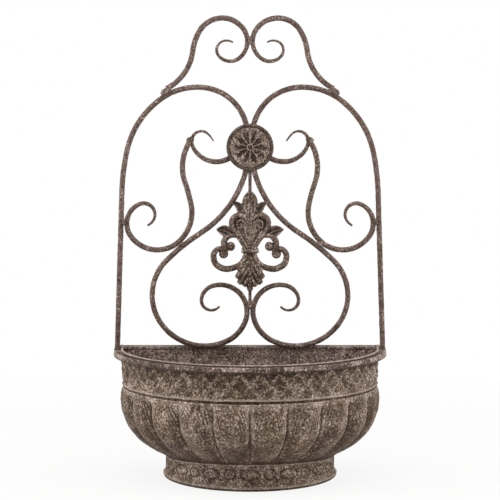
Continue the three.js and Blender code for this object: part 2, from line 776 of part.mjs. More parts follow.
addPair("weld_s_side", weldBead(
  narrowest(scroll, arch), [6, valleyDepth, 3], valleyY, [grown(scroll), grown(arch)]), weldMetal);
addPair("weld_s_lower", weldBead(
  narrowest(scroll, lower), [6, valleyDepth, 3], valleyY, [grown(scroll), grown(lower)]), weldMetal);
const scrollTop = stationAt(scroll, 1.4 * barRadius);
addPair("weld_s_top", weldBead(
  { x: scrollTop.x - barRadius / 2, z: scrollTop.z + barRadius / 2, heading: scrollTop.heading },
  [5, 4, 5], frameY - barRadius / 2, [grown(scroll), grown(hook)]), weldMetal);
const footBead = [archInset - 0.5, archInset - 0.5, 2.6];
const underFoot = new THREE.BoxGeometry(4 * archInset, 4 * archInset, archInset)
  .translate(archStart.x, frameY, archStart.z - archInset / 2);
addPair("weld_arch_foot", weldBead(
  archStart, footBead, frameY, [grown(arch), solid(underFoot)]), weldMetal);
const lapping = loopsOnly(lower).reduce((a, b) => (b.z - b.radius < a.z - a.radius ? b : a));
const behindHem = new THREE.BoxGeometry(2 * rimRadius, 4 * sheet, 2 * hemHeight)
  .translate(0, -seat, plateTop - hemHeight + seat);
addPair("weld_plate", weldBead(
  { x: lapping.x, z: plateTop }, [5, 3.6, 2.8], frameY + barRadius / 2,
  [grown(lower), solid(behindHem)]), weldMetal);

// ---------- whole ----------

const whole = new THREE.Group();
whole.add(planter);
planter.position.y = (rimRadius - ringBackY) / 2;

export default whole;
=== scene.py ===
import math

import bmesh
import bpy
import numpy as np
from mathutils import Matrix, Vector, noise


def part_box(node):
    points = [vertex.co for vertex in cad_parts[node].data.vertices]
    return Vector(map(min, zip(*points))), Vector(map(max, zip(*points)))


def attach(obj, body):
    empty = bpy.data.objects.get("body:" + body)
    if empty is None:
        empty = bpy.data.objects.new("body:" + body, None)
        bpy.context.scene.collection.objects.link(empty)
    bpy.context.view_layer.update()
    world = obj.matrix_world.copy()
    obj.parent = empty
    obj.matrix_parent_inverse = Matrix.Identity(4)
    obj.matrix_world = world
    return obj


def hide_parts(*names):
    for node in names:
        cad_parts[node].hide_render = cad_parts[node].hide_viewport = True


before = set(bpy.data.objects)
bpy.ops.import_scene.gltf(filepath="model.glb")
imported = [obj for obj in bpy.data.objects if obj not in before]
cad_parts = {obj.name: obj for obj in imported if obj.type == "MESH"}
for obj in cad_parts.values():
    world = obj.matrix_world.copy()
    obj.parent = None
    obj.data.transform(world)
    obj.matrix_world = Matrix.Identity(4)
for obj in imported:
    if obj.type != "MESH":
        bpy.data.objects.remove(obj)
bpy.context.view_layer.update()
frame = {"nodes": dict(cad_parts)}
print("loaded the frame:", len(frame["nodes"]), "nodes")

mm = 0.001
wallY = 115 * mm  # the wall face; lengths below are in mm, and depth is counted from the wall

# ---- camera and studio

shot = {"height": 566, "distance": 2678, "tilt": 4.03, "lens": 115.6, "sensor": 36}
camera = bpy.data.objects.new("camera", bpy.data.cameras.new("camera"))
bpy.context.scene.collection.objects.link(camera)
camera.location = (0, wallY - shot["distance"] * mm, shot["height"] * mm)
camera.rotation_euler = (math.radians(90 - shot["tilt"]), 0, 0)
camera.data.sensor_width = shot["sensor"]
camera.data.lens = shot["lens"]
bpy.context.scene.camera = camera


def linear(colour):
    parts = [int(colour[i:i + 2], 16) / 255 for i in (1, 3, 5)]
    return [p / 12.92 if p <= 0.04045 else ((p + 0.055) / 1.055) ** 2.4 for p in parts] + [1]


def areaLamp(name, place, target, size, power):
    lamp = bpy.data.lights.new(name, "AREA")
    lamp.shape = "RECTANGLE"
    lamp.size, lamp.size_y = size
    lamp.energy = power
    piece = bpy.data.objects.new(name, lamp)
    bpy.context.scene.collection.objects.link(piece)
    piece.location = place
    aim = Vector(target) - Vector(place)
    piece.rotation_euler = aim.to_track_quat("-Z", "Y").to_euler()


studio = {
    "left": ((-1.9, -0.4, 1.0), (0, 0, 0.3), (0.9, 1.6), 26),
    "right": ((1.9, -0.4, 1.0), (0, 0, 0.3), (0.9, 1.6), 26),
    "top": ((0, -0.7, 2.3), (0, 0, 0.2), (1.8, 0.9), 25),
}
for lampName, lampWords in studio.items():
    areaLamp(lampName + "Lamp", *lampWords)

world = bpy.data.worlds.new("studioWorld")
bpy.context.scene.world = world
world.use_nodes = True
bpy.context.scene.view_settings.view_transform = "Standard"


class Nodes:
    # Short way to add and join the nodes of one tree.
    def __init__(self, tree):
        self.tree = tree

    def add(self, kind, inputs=None, **settings):
        node = self.tree.nodes.new(kind)
        for key, value in settings.items():
            setattr(node, key, value)
        for key, value in (inputs or {}).items():
            socket = node.inputs[key]
            if isinstance(value, bpy.types.NodeSocket):
                self.tree.links.new(value, socket)
            else:
                socket.default_value = value
        return node

    def join(self, output, socket):
        self.tree.links.new(output, socket)

    def maths(self, operation, a, b=0.0, clamp=False):
        return self.add("ShaderNodeMath", {0: a, 1: b}, operation=operation, use_clamp=clamp).outputs[0]

    def stretch(self, value, low, high, toLow=0.0, toHigh=1.0):
        node = self.add("ShaderNodeMapRange", {0: value, 1: low, 2: high, 3: toLow, 4: toHigh})
        return node.outputs[0]

    def blend(self, share, a, b):
        node = self.add("ShaderNodeMix", {0: share, 6: a, 7: b}, data_type="RGBA")
        return node.outputs[2]


worldLook = {"light": 0.36, "seen": 1.0}
world.node_tree.nodes.clear()
w = Nodes(world.node_tree)
ray = w.add("ShaderNodeLightPath")
seenDirect = w.maths("ADD", ray.outputs["Is Camera Ray"], ray.outputs["Is Transmission Ray"], True)
strength = w.stretch(seenDirect, 0, 1, worldLook["light"], worldLook["seen"])
glow = w.add("ShaderNodeBackground", {"Color": (1, 1, 1, 1), "Strength": strength})
w.join(glow.outputs[0], w.add("ShaderNodeOutputWorld").inputs[0])

floorLook = {"size": 40.0, "paint": "#e9e7e4", "nearGlow": 0.86, "fadeFrom": 0.35, "fadeTo": 1.3}
floorMaterial = bpy.data.materials.new("paleFloor")
floorMaterial.use_nodes = True
floorMaterial.node_tree.nodes.clear()
f = Nodes(floorMaterial.node_tree)
floorRay = f.add("ShaderNodeLightPath")
paint = f.add("ShaderNodeBsdfDiffuse", {"Color": linear(floorLook["paint"])})
white = f.add("ShaderNodeEmission", {"Color": (1, 1, 1, 1), "Strength": 1.0})
fromMiddle = f.add("ShaderNodeVectorMath", {0: f.add("ShaderNodeTexCoord").outputs["Object"]},
                   operation="LENGTH").outputs["Value"]
glowShare = f.stretch(fromMiddle, floorLook["fadeFrom"], floorLook["fadeTo"], floorLook["nearGlow"], 1.0)
seenFloor = f.maths("ADD", floorRay.outputs["Is Camera Ray"], floorRay.outputs["Is Glossy Ray"], True)
share = f.maths("MULTIPLY", seenFloor, glowShare)
mixed = f.add("ShaderNodeMixShader", {0: share})
f.join(paint.outputs[0], mixed.inputs[1])
f.join(white.outputs[0], mixed.inputs[2])
f.join(mixed.outputs[0], f.add("ShaderNodeOutputMaterial").inputs[0])
floorMesh = bpy.data.meshes.new("floor")
half = floorLook["size"] / 2
floorMesh.from_pydata([(-half, -half, 0), (half, -half, 0), (half, half, 0), (-half, half, 0)], [], [(0, 1, 2, 3)])
floorMesh.materials.append(floorMaterial)
floor = bpy.data.objects.new("floor", floorMesh)
bpy.context.scene.collection.objects.link(floor)
print("camera and studio are set")

# ---- materials


def groupTree(name, inputs, outputs):
    tree = bpy.data.node_groups.new(name, "ShaderNodeTree")
    for label, kind, value in inputs:
        socket = tree.interface.new_socket(label, in_out="INPUT", socket_type=kind)
        if value is not None:
            socket.default_value = value
    for label, kind in outputs:
        tree.interface.new_socket(label, in_out="OUTPUT", socket_type=kind)
    return tree


# Sandy antiqued skin: light grains and dark pits over a colour that drifts in patches. Raised
# places, where wear is high, are rubbed lighter, and hollows hold dark grime. The wear value
# also carries painted shade, darkened towards the grime colour, and painted highlights,
# lightened towards the grain colour.
skinGroup = groupTree("antiquedSkin", [
    ("Vector", "NodeSocketVector", None),
    ("Base", "NodeSocketColor", (0.1, 0.08, 0.07, 1)),
    ("Patch", "NodeSocketColor", (0.1, 0.08, 0.05, 1)),
    ("Grain", "NodeSocketColor", (0.4, 0.35, 0.3, 1)),
    ("Speck", "NodeSocketColor", (0.6, 0.55, 0.5, 1)),
    ("Grime", "NodeSocketColor", (0.02, 0.015, 0.01, 1)),
    ("Grain Size", "NodeSocketFloat", 2.2),
    ("Grain Share", "NodeSocketFloat", 0.3),
    ("Grime Share", "NodeSocketFloat", 0.4),
    ("Patch Size", "NodeSocketFloat", 60.0),
    ("Wear", "NodeSocketFloat", 0.5),
], [("Color", "NodeSocketColor"), ("Roughness", "NodeSocketFloat"), ("Height", "NodeSocketFloat")])
g = Nodes(skinGroup)
skinIn = g.add("NodeGroupInput").outputs
fineScale = g.maths("DIVIDE", 1000.0, skinIn["Grain Size"])
patchScale = g.maths("DIVIDE", 1000.0, skinIn["Patch Size"])
grains = g.add("ShaderNodeTexNoise", {"Vector": skinIn["Vector"], "Scale": fineScale, "Detail": 2.5,
                                      "Roughness": 0.65}).outputs["Fac"]
shifted = g.add("ShaderNodeVectorMath", {0: skinIn["Vector"], 1: (0.37, 0.11, 0.53)},
                operation="ADD").outputs[0]
pits = g.add("ShaderNodeTexNoise", {"Vector": shifted, "Scale": g.maths("MULTIPLY", fineScale, 0.7),
                                    "Detail": 3.0, "Roughness": 0.6}).outputs["Fac"]
clumps = g.add("ShaderNodeTexNoise", {"Vector": shifted, "Scale": g.maths("MULTIPLY", patchScale, 4.0),
                                      "Detail": 3.0, "Roughness": 0.6}).outputs["Fac"]
patches = g.add("ShaderNodeTexNoise", {"Vector": skinIn["Vector"], "Scale": patchScale,
                                       "Detail": 2.0}).outputs["Fac"]
lift = g.stretch(skinIn["Wear"], 0.0, 1.0, -0.07, 0.07)
# Low values darken: grime in hollows, and painted shade where the pieces put it.
darkGrimeAndShade = g.stretch(skinIn["Wear"], 0.4, -0.2, 0.0, 0.75)
# High values lighten: rubbed wear, and painted highlights where the pieces put them.
rubbed = g.stretch(skinIn["Wear"], 0.8, 1.6, 0.0, 0.7)
clumpLift = g.stretch(clumps, 0.3, 0.7, -0.07, 0.07)
grainLevel = g.maths("ADD", g.maths("ADD", grains, lift), clumpLift)
grainEdge = g.maths("SUBTRACT", 0.72, g.maths("MULTIPLY", skinIn["Grain Share"], 0.4))
grainMask = g.stretch(grainLevel, grainEdge, g.maths("ADD", grainEdge, 0.075))
pitLevel = g.maths("ADD", g.maths("SUBTRACT", pits, lift), g.maths("MULTIPLY", clumpLift, -1.0))
pitEdge = g.maths("SUBTRACT", 0.72, g.maths("MULTIPLY", skinIn["Grime Share"], 0.4))
pitMask = g.stretch(pitLevel, pitEdge, g.maths("ADD", pitEdge, 0.085))
drift = g.stretch(patches, 0.38, 0.62)
ground = g.blend(drift, skinIn["Base"], skinIn["Patch"])
grimy = g.blend(g.maths("MULTIPLY", pitMask, 0.9), ground, skinIn["Grime"])
darkened = g.blend(darkGrimeAndShade, grimy, skinIn["Grime"])
lightened = g.blend(rubbed, darkened, skinIn["Grain"])
grainCover = g.maths("MULTIPLY", grainMask, g.maths("SUBTRACT", 0.92, g.maths("MULTIPLY", darkGrimeAndShade, 0.8)))
speckMask = g.stretch(grainLevel, g.maths("ADD", grainEdge, 0.11), g.maths("ADD", grainEdge, 0.17))
grainTone = g.blend(speckMask, skinIn["Grain"], skinIn["Speck"])
grained = g.blend(grainCover, lightened, grainTone)
skinOut = g.add("NodeGroupOutput")
g.join(grained, skinOut.inputs["Color"])
g.join(g.stretch(grains, 0.3, 0.7, 0.85, 0.55), skinOut.inputs["Roughness"])
relief = g.maths("SUBTRACT", g.maths("MULTIPLY", grains, 1.0), g.maths("MULTIPLY", pitMask, 0.45))
g.join(relief, skinOut.inputs["Height"])


def antiqued(name, look):
    material = bpy.data.materials.new(name)
    material.use_nodes = True
    material.node_tree.nodes.clear()
    m = Nodes(material.node_tree)
    place = m.add("ShaderNodeTexCoord").outputs["Object"]
    skin = m.add("ShaderNodeGroup", node_tree=skinGroup)
    m.join(place, skin.inputs["Vector"])
    for label in ("Base", "Patch", "Grain", "Speck", "Grime"):
        skin.inputs[label].default_value = linear(look[label])
    for label in ("Grain Size", "Grain Share", "Grime Share", "Patch Size"):
        skin.inputs[label].default_value = look[label]
    if look.get("wornBy"):
        wornAndLit = m.add("ShaderNodeAttribute", attribute_name=look["wornBy"]).outputs["Fac"]
        m.join(wornAndLit, skin.inputs["Wear"])
    elif look.get("hem"):
        height = m.add("ShaderNodeSeparateXYZ", {0: place}).outputs["Z"]
        low, high = (level * mm for level in look["hem"])
        m.join(m.stretch(height, low, high, 0.5, look["Hem Wear"]), skin.inputs["Wear"])
    else:
        skin.inputs["Wear"].default_value = look.get("Wear", 0.5)
    bump = m.add("ShaderNodeBump", {"Height": skin.outputs["Height"], "Strength": look["Bump"],
                                    "Distance": look["Bump Depth"] * mm})
    shader = m.add("ShaderNodeBsdfPrincipled", {
        "Base Color": skin.outputs["Color"], "Roughness": skin.outputs["Roughness"],
        "Metallic": look["Metallic"], "Normal": bump.outputs[0]})
    shader.inputs["Specular IOR Level"].default_value = look["Sheen"]
    m.join(shader.outputs[0], m.add("ShaderNodeOutputMaterial").inputs[0])
    return material


barLook = {
    "Base": "#604d46", "Patch": "#5b483b", "Grain": "#a38f85", "Speck": "#c8b9af", "Grime": "#35271f",
    "Grain Size": 2.6, "Grain Share": 0.42, "Grime Share": 0.42, "Patch Size": 70, "Bump": 0.6,
    "Bump Depth": 0.5, "Metallic": 0.0, "Sheen": 0.35,
}
castLook = dict(barLook, Base="#665349", Patch="#5d4b3d", Grain="#ab998c", Speck="#d2c3b8", Grime="#2c1f17",
                wornBy="wear")
castLook.update({"Grain Size": 2.9, "Grain Share": 0.42, "Grime Share": 0.46})
sheetLook = dict(barLook, Base="#695648", Patch="#66523c", Grain="#a29083", Speck="#d6c5ba",
                 Grime="#3a291c", wornBy="wear")
sheetLook.update({"Grain Size": 3.1, "Grain Share": 0.48, "Grime Share": 0.6, "Patch Size": 90,
                  "Bump": 0.7, "Bump Depth": 0.9})
rimLook = dict(sheetLook, Base="#615148", Patch="#5a4b41", Grain="#a39288")
rimLook.update({"Grain Share": 0.46, "Grime Share": 0.62})
insideLook = dict(sheetLook, Base="#88736a", Patch="#7c6757", Grain="#c0ada1", Speck="#dccbc0",
                  Grime="#38291f")
insideLook.update({"Grain Size": 2.9, "Grain Share": 0.52, "Grime Share": 0.58, "wornBy": None,
                   "hem": (213.4, 214.6), "Hem Wear": 1.25})
weldLook = dict(barLook, Base="#6b5b53", Grain="#b5a59b")
barMaterial = antiqued("antiquedBar", barLook)
castMaterial = antiqued("antiquedCasting", castLook)
sheetMaterial = antiqued("antiquedSheet", sheetLook)
rimMaterial = antiqued("antiquedRim", rimLook)
insideMaterial = antiqued("darkInside", insideLook)
weldMaterial = antiqued("weldMetal", weldLook)
print("materials are made")

# ---- shared ways to make and seat a piece


def meshPiece(name, points, faces, material, wear=None):
    mesh = bpy.data.meshes.new(name)
    mesh.from_pydata([(x * mm, wallY + y * mm, z * mm) for x, y, z in points], [], faces)
    # The attribute holds wear together with painted shade and painted highlights.
    if wear is not None:
        layer = mesh.attributes.new("wear", "FLOAT", "POINT")
        layer.data.foreach_set("value", wear)
    shell = bmesh.new()
    shell.from_mesh(mesh)
    bmesh.ops.recalc_face_normals(shell, faces=shell.faces)
    shell.to_mesh(mesh)
    shell.free()
    mesh.polygons.foreach_set("use_smooth", [True] * len(mesh.polygons))
    mesh.materials.append(material)
    piece = bpy.data.objects.new(name, mesh)
    bpy.context.scene.collection.objects.link(piece)
    return piece


def seat(piece, slotName, *nodes):
    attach(piece, "root")
    if nodes:
        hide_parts(*nodes)


def lumps(x, y, z, size, seed=0.0):
    # Smooth noise from 0 to 1.
    at = Vector((x / size + seed, y / size - seed, z / size + 2 * seed))
    return min(1, max(0, 0.5 + 0.5 * noise.noise(at)))


def ring(section, steps, name, material, closeEnds=True):
    # A closed section swept round the half circle. section(angle) gives (radius, z, wear and painted light).
    points, wear, faces = [], [], []
    for i in range(steps + 1):
        angle = math.pi * i / steps
        for r, z, wornAndLit in section(angle):
            points.append((-r * math.cos(angle), ringBackY - r * math.sin(angle), z))
            wear.append(wornAndLit)
    count = len(points) // (steps + 1)
    for i in range(steps):
        for j in range(count):
            a, b = i * count + j, i * count + (j + 1) % count
            faces.append((a, b, b + count, a + count))
    faces.append(tuple(range(count)))
    faces.append(tuple(reversed(range(steps * count, (steps + 1) * count))))
    return meshPiece(name, points, faces, material, wear)


def smoothLine(points, steps):
    # Rounds a run of (r, z, wear and painted light) points with a centripetal-like spline.
    out = []
    for i in range(len(points) - 1):
        p0 = points[max(i - 1, 0)]
        p1, p2 = points[i], points[i + 1]
        p3 = points[min(i + 2, len(points) - 1)]
        for k in range(steps):
            t = k / steps
            out.append(tuple(
                0.5 * (2 * b + (c - a) * t + (2 * a - 5 * b + 4 * c - d) * t * t
                       + (3 * b - a - 3 * c + d) * t ** 3)
                for a, b, c, d in zip(p0, p1, p2, p3)))
    out.append(tuple(points[-1]))
    return out


def clamp(value, low=0.0, high=1.0):
    return min(high, max(low, value))


def ease(value, low, high):
    t = clamp((value - low) / (high - low))
    return t * t * (3 - 2 * t)


# ---- basin

sheet = 1.2
gap = 0.3
ringBackY = -(sheet + gap)
basin = {
    "footRadius": 142, "footHeight": 32, "footRise": 11, "toeProud": 4.2, "toeHeight": 10,
    "lipZ": 32.3, "beadZ": 148.3, "beadHeight": 4, "beadProud": 1.2, "beadRadius": 212.4,
    "bowlRadius": 217.9, "shoulder": 22, "lobes": 11, "lobeDepth": 15, "lipWidth": 12,
    "bandZ": 152.6, "bandTop": 210.6, "bandRadius": 214.8, "bandInner": 213.6,
    "rimRadius": 228.5, "rimInner": 212.1, "flangeZ": 212.1, "rimTop": 213.1, "rimDrop": 10.3,
}
b = basin


def bowlSide():
    # Section through a lobe's crest from the bead down to the foot: r, z, out, groove and drop.
    widestZ = b["beadZ"] - b["shoulder"]
    points = []
    shoulderSteps = 12
    for i in range(shoulderSteps):
        turn = math.pi / 2 * (1 - i / shoulderSteps)
        r = b["beadRadius"] + (b["bowlRadius"] - b["beadRadius"]) * math.cos(turn)
        points.append((r, widestZ + b["shoulder"] * math.sin(turn)))
    span = widestZ - b["lipZ"]
    p0 = (b["bowlRadius"], widestZ)
    p1 = (b["bowlRadius"], widestZ - 0.48 * span)
    p2 = (b["footRadius"] + 0.53 * (b["bowlRadius"] - b["footRadius"]), b["lipZ"] + 0.19 * span)
    p3 = (b["footRadius"], b["lipZ"] + sheet)
    sideSteps = 34
    for i in range(sideSteps + 1):
        t = i / sideSteps
        points.append(tuple(
            (1 - t) ** 3 * p0[k] + 3 * t * (1 - t) ** 2 * p1[k] + 3 * t * t * (1 - t) * p2[k]
            + t ** 3 * p3[k] for k in (0, 1)))
    side = []
    whole = b["beadZ"] - b["lipZ"]
    for i, (r, z) in enumerate(points):
        before, after = points[max(i - 1, 0)], points[min(i + 1, len(points) - 1)]
        out = Vector((before[1] - after[1], after[0] - before[0])).normalized()
        down = min(1, (b["beadZ"] - z) / (whole - sheet))
        full = min(1, math.sqrt(down / 0.13)) * (1 - 0.75 * down ** 7)
        side.append((r, z, out, full, ease(down, 0.25, 1), down))
    return side


bowlPoints = bowlSide()


def bowlSection(angle):
    across = (angle / math.pi * b["lobes"] + 0.5) % 1
    fromCrest = abs(2 * across - 1)
    groove = 1 - math.sqrt(1 - 0.94 * fromCrest ** 2)
    rise = b["footRise"] * math.sin(angle)
    edge = ease(fromCrest, 0.7, 0.86) * (1 - ease(fromCrest, 0.93, 0.985))
    # Painted light on the lobes, growing towards the ends of the half round: each lobe's flank that faces the
    # front is painted in shade, and its outer flank is painted lighter.
    aside = abs(math.cos(angle)) ** 1.5
    toFront = across if angle < math.pi / 2 else 1 - across
    flankShadeAndLight = aside * ease(toFront, 0.62, 0.93) - 0.45 * aside * ease(toFront, 0.5, 0.2) * ease(toFront, 0.0, 0.1)
    # Painted shade in each groove, wider and stronger towards the ends of the half round.
    creaseShade = (0.45 + 0.55 * aside) * ease(fromCrest, 0.9 - 0.1 * aside, 0.99)
    outside, inside = [], []
    for r, z, out, full, drop, down in bowlPoints:
        x, y = r * math.cos(angle), r * math.sin(angle)
        drift = lumps(x, y, z, 30, 8.3)
        wornAndLit = 0.45 + 0.65 * edge * (0.35 + drift) * (1 - 0.5 * aside) - 0.62 * creaseShade * min(1, full)
        wornAndLit += 0.5 * (drift - 0.5) + 0.14 * ease(down, 0.5, 0.05) - 0.12 * ease(down, 0.45, 0.9)
        wornAndLit -= 0.5 * ease(down, 0.95, 1) + 0.6 * flankShadeAndLight * min(1, full) - 0.25 * ease(down, 0.05, 0)
        # Pleats of the pressed sheet fan out from the top of each groove.
        pleats = ease(fromCrest, 0.1, 0.6) * (1 - ease(fromCrest, 0.86, 0.96))
        pleats *= ease(down, 0.03, 0.1) * (1 - ease(down, 0.22, 0.55))
        fan = fromCrest * (5.5 + 1.2 * drift) - 7 * down + 0.8 * drift
        pleat = pleats * math.cos(2 * math.pi * fan)
        dent = 0.7 * lumps(x, y, z, 5, 3.1) + 1.1 * lumps(x, y, z, 24, 1.7) + 0.8 * (pleats - pleat)
        wornAndLit += 0.55 * pleat
        fade = min(1, down / 0.06) * min(1, (1 - down) / 0.04)
        inward = b["lobeDepth"] * full * groove + dent * fade
        outside.append((r - out.x * inward, z - out.y * inward + drop * rise, wornAndLit))
        inward = b["lobeDepth"] * full * groove + sheet + 1.1 * fade
        inside.append((r - out.x * inward, z - out.y * inward + drop * rise, 0.15))
    inside = inside[::3] + [inside[-1]] if len(inside) % 3 != 1 else inside[::3]
    inside.reverse()
    footR = outside[-1][0]
    inside[0] = (footR - sheet, b["lipZ"] + rise + sheet, 0.1)
    lip = [
        (footR - gap, b["lipZ"] + rise, 0.0),
        (b["footRadius"] - b["lipWidth"], b["lipZ"] + rise, 0.1),
        (b["footRadius"] - b["lipWidth"], b["lipZ"] + rise + sheet, 0.1),
    ]
    top = b["beadZ"] + b["beadHeight"]
    shoulder = smoothLine([
        (b["beadRadius"] - sheet, top, 0.0), (b["beadRadius"] - 0.2, top, 0.3),
        (b["beadRadius"] + 0.7, top - 0.9, 1.05), (b["beadRadius"] + 0.6, top - 2.4, 0.95),
        (b["beadRadius"] + 0.15, top - 3.6, 0.7)], 3)
    return shoulder + outside + lip + inside


bowl = ring(bowlSection, 36 * b["lobes"], "gadroonedBowl", sheetMaterial)
seat(bowl, "basin_sheet", "gadrooned_bowl")


def rimSection(angle):
    top, dip, face = b["rimTop"], b["flangeZ"], b["rimTop"] - b["rimDrop"]
    endRound = 0.8 * (1 - ease(min(angle, math.pi - angle), 0, 0.01))
    outer = b["rimRadius"] - endRound
    x, y = outer * math.cos(angle), outer * math.sin(angle)
    dent = 0.75 * lumps(x, y, 0, 9, 5.2) + 0.35 * lumps(x, y, 0, 3.5, 7.7)
    # Lumpy rubbed spots and patches lighten the face.
    rubbedAndHighlight = 0.05 + 0.5 * lumps(x, y, 0, 9, 9.1) + 0.75 * ease(lumps(x, y, 0, 34, 2.6), 0.35, 0.75)
    fromEnd = min(angle, math.pi - angle)
    square = ease(fromEnd, 0.16, 0.02)
    filled = ease(fromEnd, 0.55, 0.12)
    # Painted highlight: the face grows lighter towards the front.
    rubbedAndHighlight += 0.4 * ease(fromEnd, 1.0, 0.25)
    # The inner bead rises and widens at the ends, to meet the back plate and the bar.
    rise = 4.2 * ease(fromEnd, 0.045, 0.012)
    inner = b["rimInner"]
    # Along the section, the inner bead's top carries a painted highlight, the dip behind it a painted shade line,
    # and the roll's lower edge painted shade.
    outside = smoothLine([
        (inner, top - 9.8, 0.1), (inner, top - 1.6, 0.8), (inner + 0.5, top + 0.5 + rise, 2.2 - 0.3 * rise),
        (inner + 2.3 + 0.6 * rise, top + 0.7 + rise, 2.4 - 0.3 * rise),
        (inner + 3.3 + 0.55 * rise, top - 0.5 + 0.4 * rise, 1.9 - 0.2 * rise),
        (inner + 3.6 + 0.55 * rise, top - 1.3, -1.0 + 1.7 * filled),
        (inner + 4.0 + 0.5 * rise, dip - 2.4 + 1.4 * filled, -1.2 + 2.0 * filled),
        (inner + 5.6 + 0.3 * rise, dip - 2.4 + 1.6 * filled, -1.2 + 2.0 * filled),
        (inner + 7.4, dip - 1.0 + 0.4 * filled, -0.2 + 1.0 * filled),
        (outer - 5.0 + 1.4 * square, dip - 0.4 - dent * 0.3, 0.2 + 0.5 * filled),
        (outer - 2.4 + 1.5 * square, dip - (1.1 - 0.8 * square) - dent * 0.4, rubbedAndHighlight + 0.15),
        (outer - (0.7 - 0.5 * square) - dent * 0.7, dip - 3.0, rubbedAndHighlight), (outer - dent * 0.8, dip - 5.6, rubbedAndHighlight),
        (outer - dent * 0.8, face + 1.6, 0.3), (outer - 0.8, face + 0.3, -0.2),
        (outer - 1.4, face, -0.2)], 4)
    within = [
        (outer - 1.5 - sheet, face, 0.0), (outer - 1.6 - sheet, dip - 4.6, 0.0),
        (outer - 5.0, dip - 2.4, 0.0), (inner + sheet + 1.4, dip - sheet - 1.2, 0.0),
        (inner + sheet, dip - sheet - 1.2, 0.0), (inner + sheet, top - 9.8, 0.0)]
    return outside + within


rim = ring(rimSection, 420, "rolledRim", rimMaterial)
seat(rim, "basin_sheet", "rolled_rim")


lattice = {"crossings": 22, "wire": 2.5, "proud": 1.4, "low": 11, "high": 47, "bead": 3.6, "lift": 1.6}


def bandProfile(z):
    # Outside radius of the band at a level.
    waistZ = b["bandZ"] + 14.5
    if z < waistZ:
        share = (z - b["bandZ"]) / 14.5
        return b["beadRadius"] + (b["bandRadius"] - 0.8 - b["beadRadius"]) * share
    return b["bandRadius"] - 0.8 * (1 - ease(z, waistZ, b["bandTop"] - 10.3))


def bandSection(angle):
    across = (angle / math.pi * lattice["crossings"] + 0.5) % 1
    outside = []
    levels = 56
    beadZ = b["bandZ"] + lattice["bead"] + lattice["lift"] * math.sin(angle) ** 2
    for i in range(levels + 1):
        z = b["bandTop"] - (b["bandTop"] - b["bandZ"]) * i / levels
        r = bandProfile(z)
        up = (z - b["bandZ"] - lattice["low"]) / (lattice["high"] - lattice["low"])
        fromLine = min(abs(across - up), abs(1 - across - up), abs(across + 1 - up),
                       abs(2 - across - up))
        field = ease(fromLine, 0.05, 0.26) if 0 < up < 1 else 0.55
        x, y = r * math.cos(angle), r * math.sin(angle)
        bead = math.exp(-((z - beadZ) / 1.35) ** 2)
        under = ease(beadZ - z, 1.5, 2.5)
        drift = lumps(x, y, z, 16, 6.6)
        blotch = lumps(x, y, z, 7, 9.4)
        dent = 1.1 * lumps(x, y, z, 4.5, 4.4) + 1.7 * field - 3.2 * bead + 1.5 * under
        fade = min(1, i / 2, (levels - i) / 1.0)
        # The band is lighter towards the front. Painted shade darkens the strip under the bead and the top of the
        # lattice under the rim, and the lower lattice is painted lighter.
        wornAndLit = 0.6 + 0.14 * math.sin(angle) - 0.46 * field + 1.5 * bead - 0.4 * under + 0.7 * (drift - 0.5) + 0.5 * (blotch - 0.5)
        wornAndLit += 0.15 * ease(up, 0.5, 0.1) - 0.2 * ease(up, 0.5, 0.95)
        outside.append((r - max(dent, -1.5) * fade, z, wornAndLit))
    inside = [(r - sheet - 1.6, z, 0.1) for r, z, wornAndLit in reversed(outside[::4])]
    inside[0] = (outside[-1][0] - sheet, b["bandZ"], 0.1)
    inside[-1] = (b["bandInner"], b["bandTop"], 0.1)
    return outside + inside


band = ring(bandSection, 528, "latticeBand", sheetMaterial)
seat(band, "basin_sheet", "lattice_band")


medallions = {"pitch": 13.3, "oval": 13.6, "round": 8.3, "tall": 7.2, "level": 0.61, "proud": 1.3}


def medallionAt(angle, z, top):
    # How far a point lies from the middle of the nearest medallion, 1 at its edge.
    degrees = math.degrees(angle) - 90
    nearest = round(degrees / medallions["pitch"])
    half = medallions["oval"] if nearest % 2 == 0 else medallions["round"]
    aside = math.radians(degrees - nearest * medallions["pitch"]) * b["footRadius"] / half
    up = (z - medallions["level"] * top) / medallions["tall"]
    return math.hypot(aside, up)


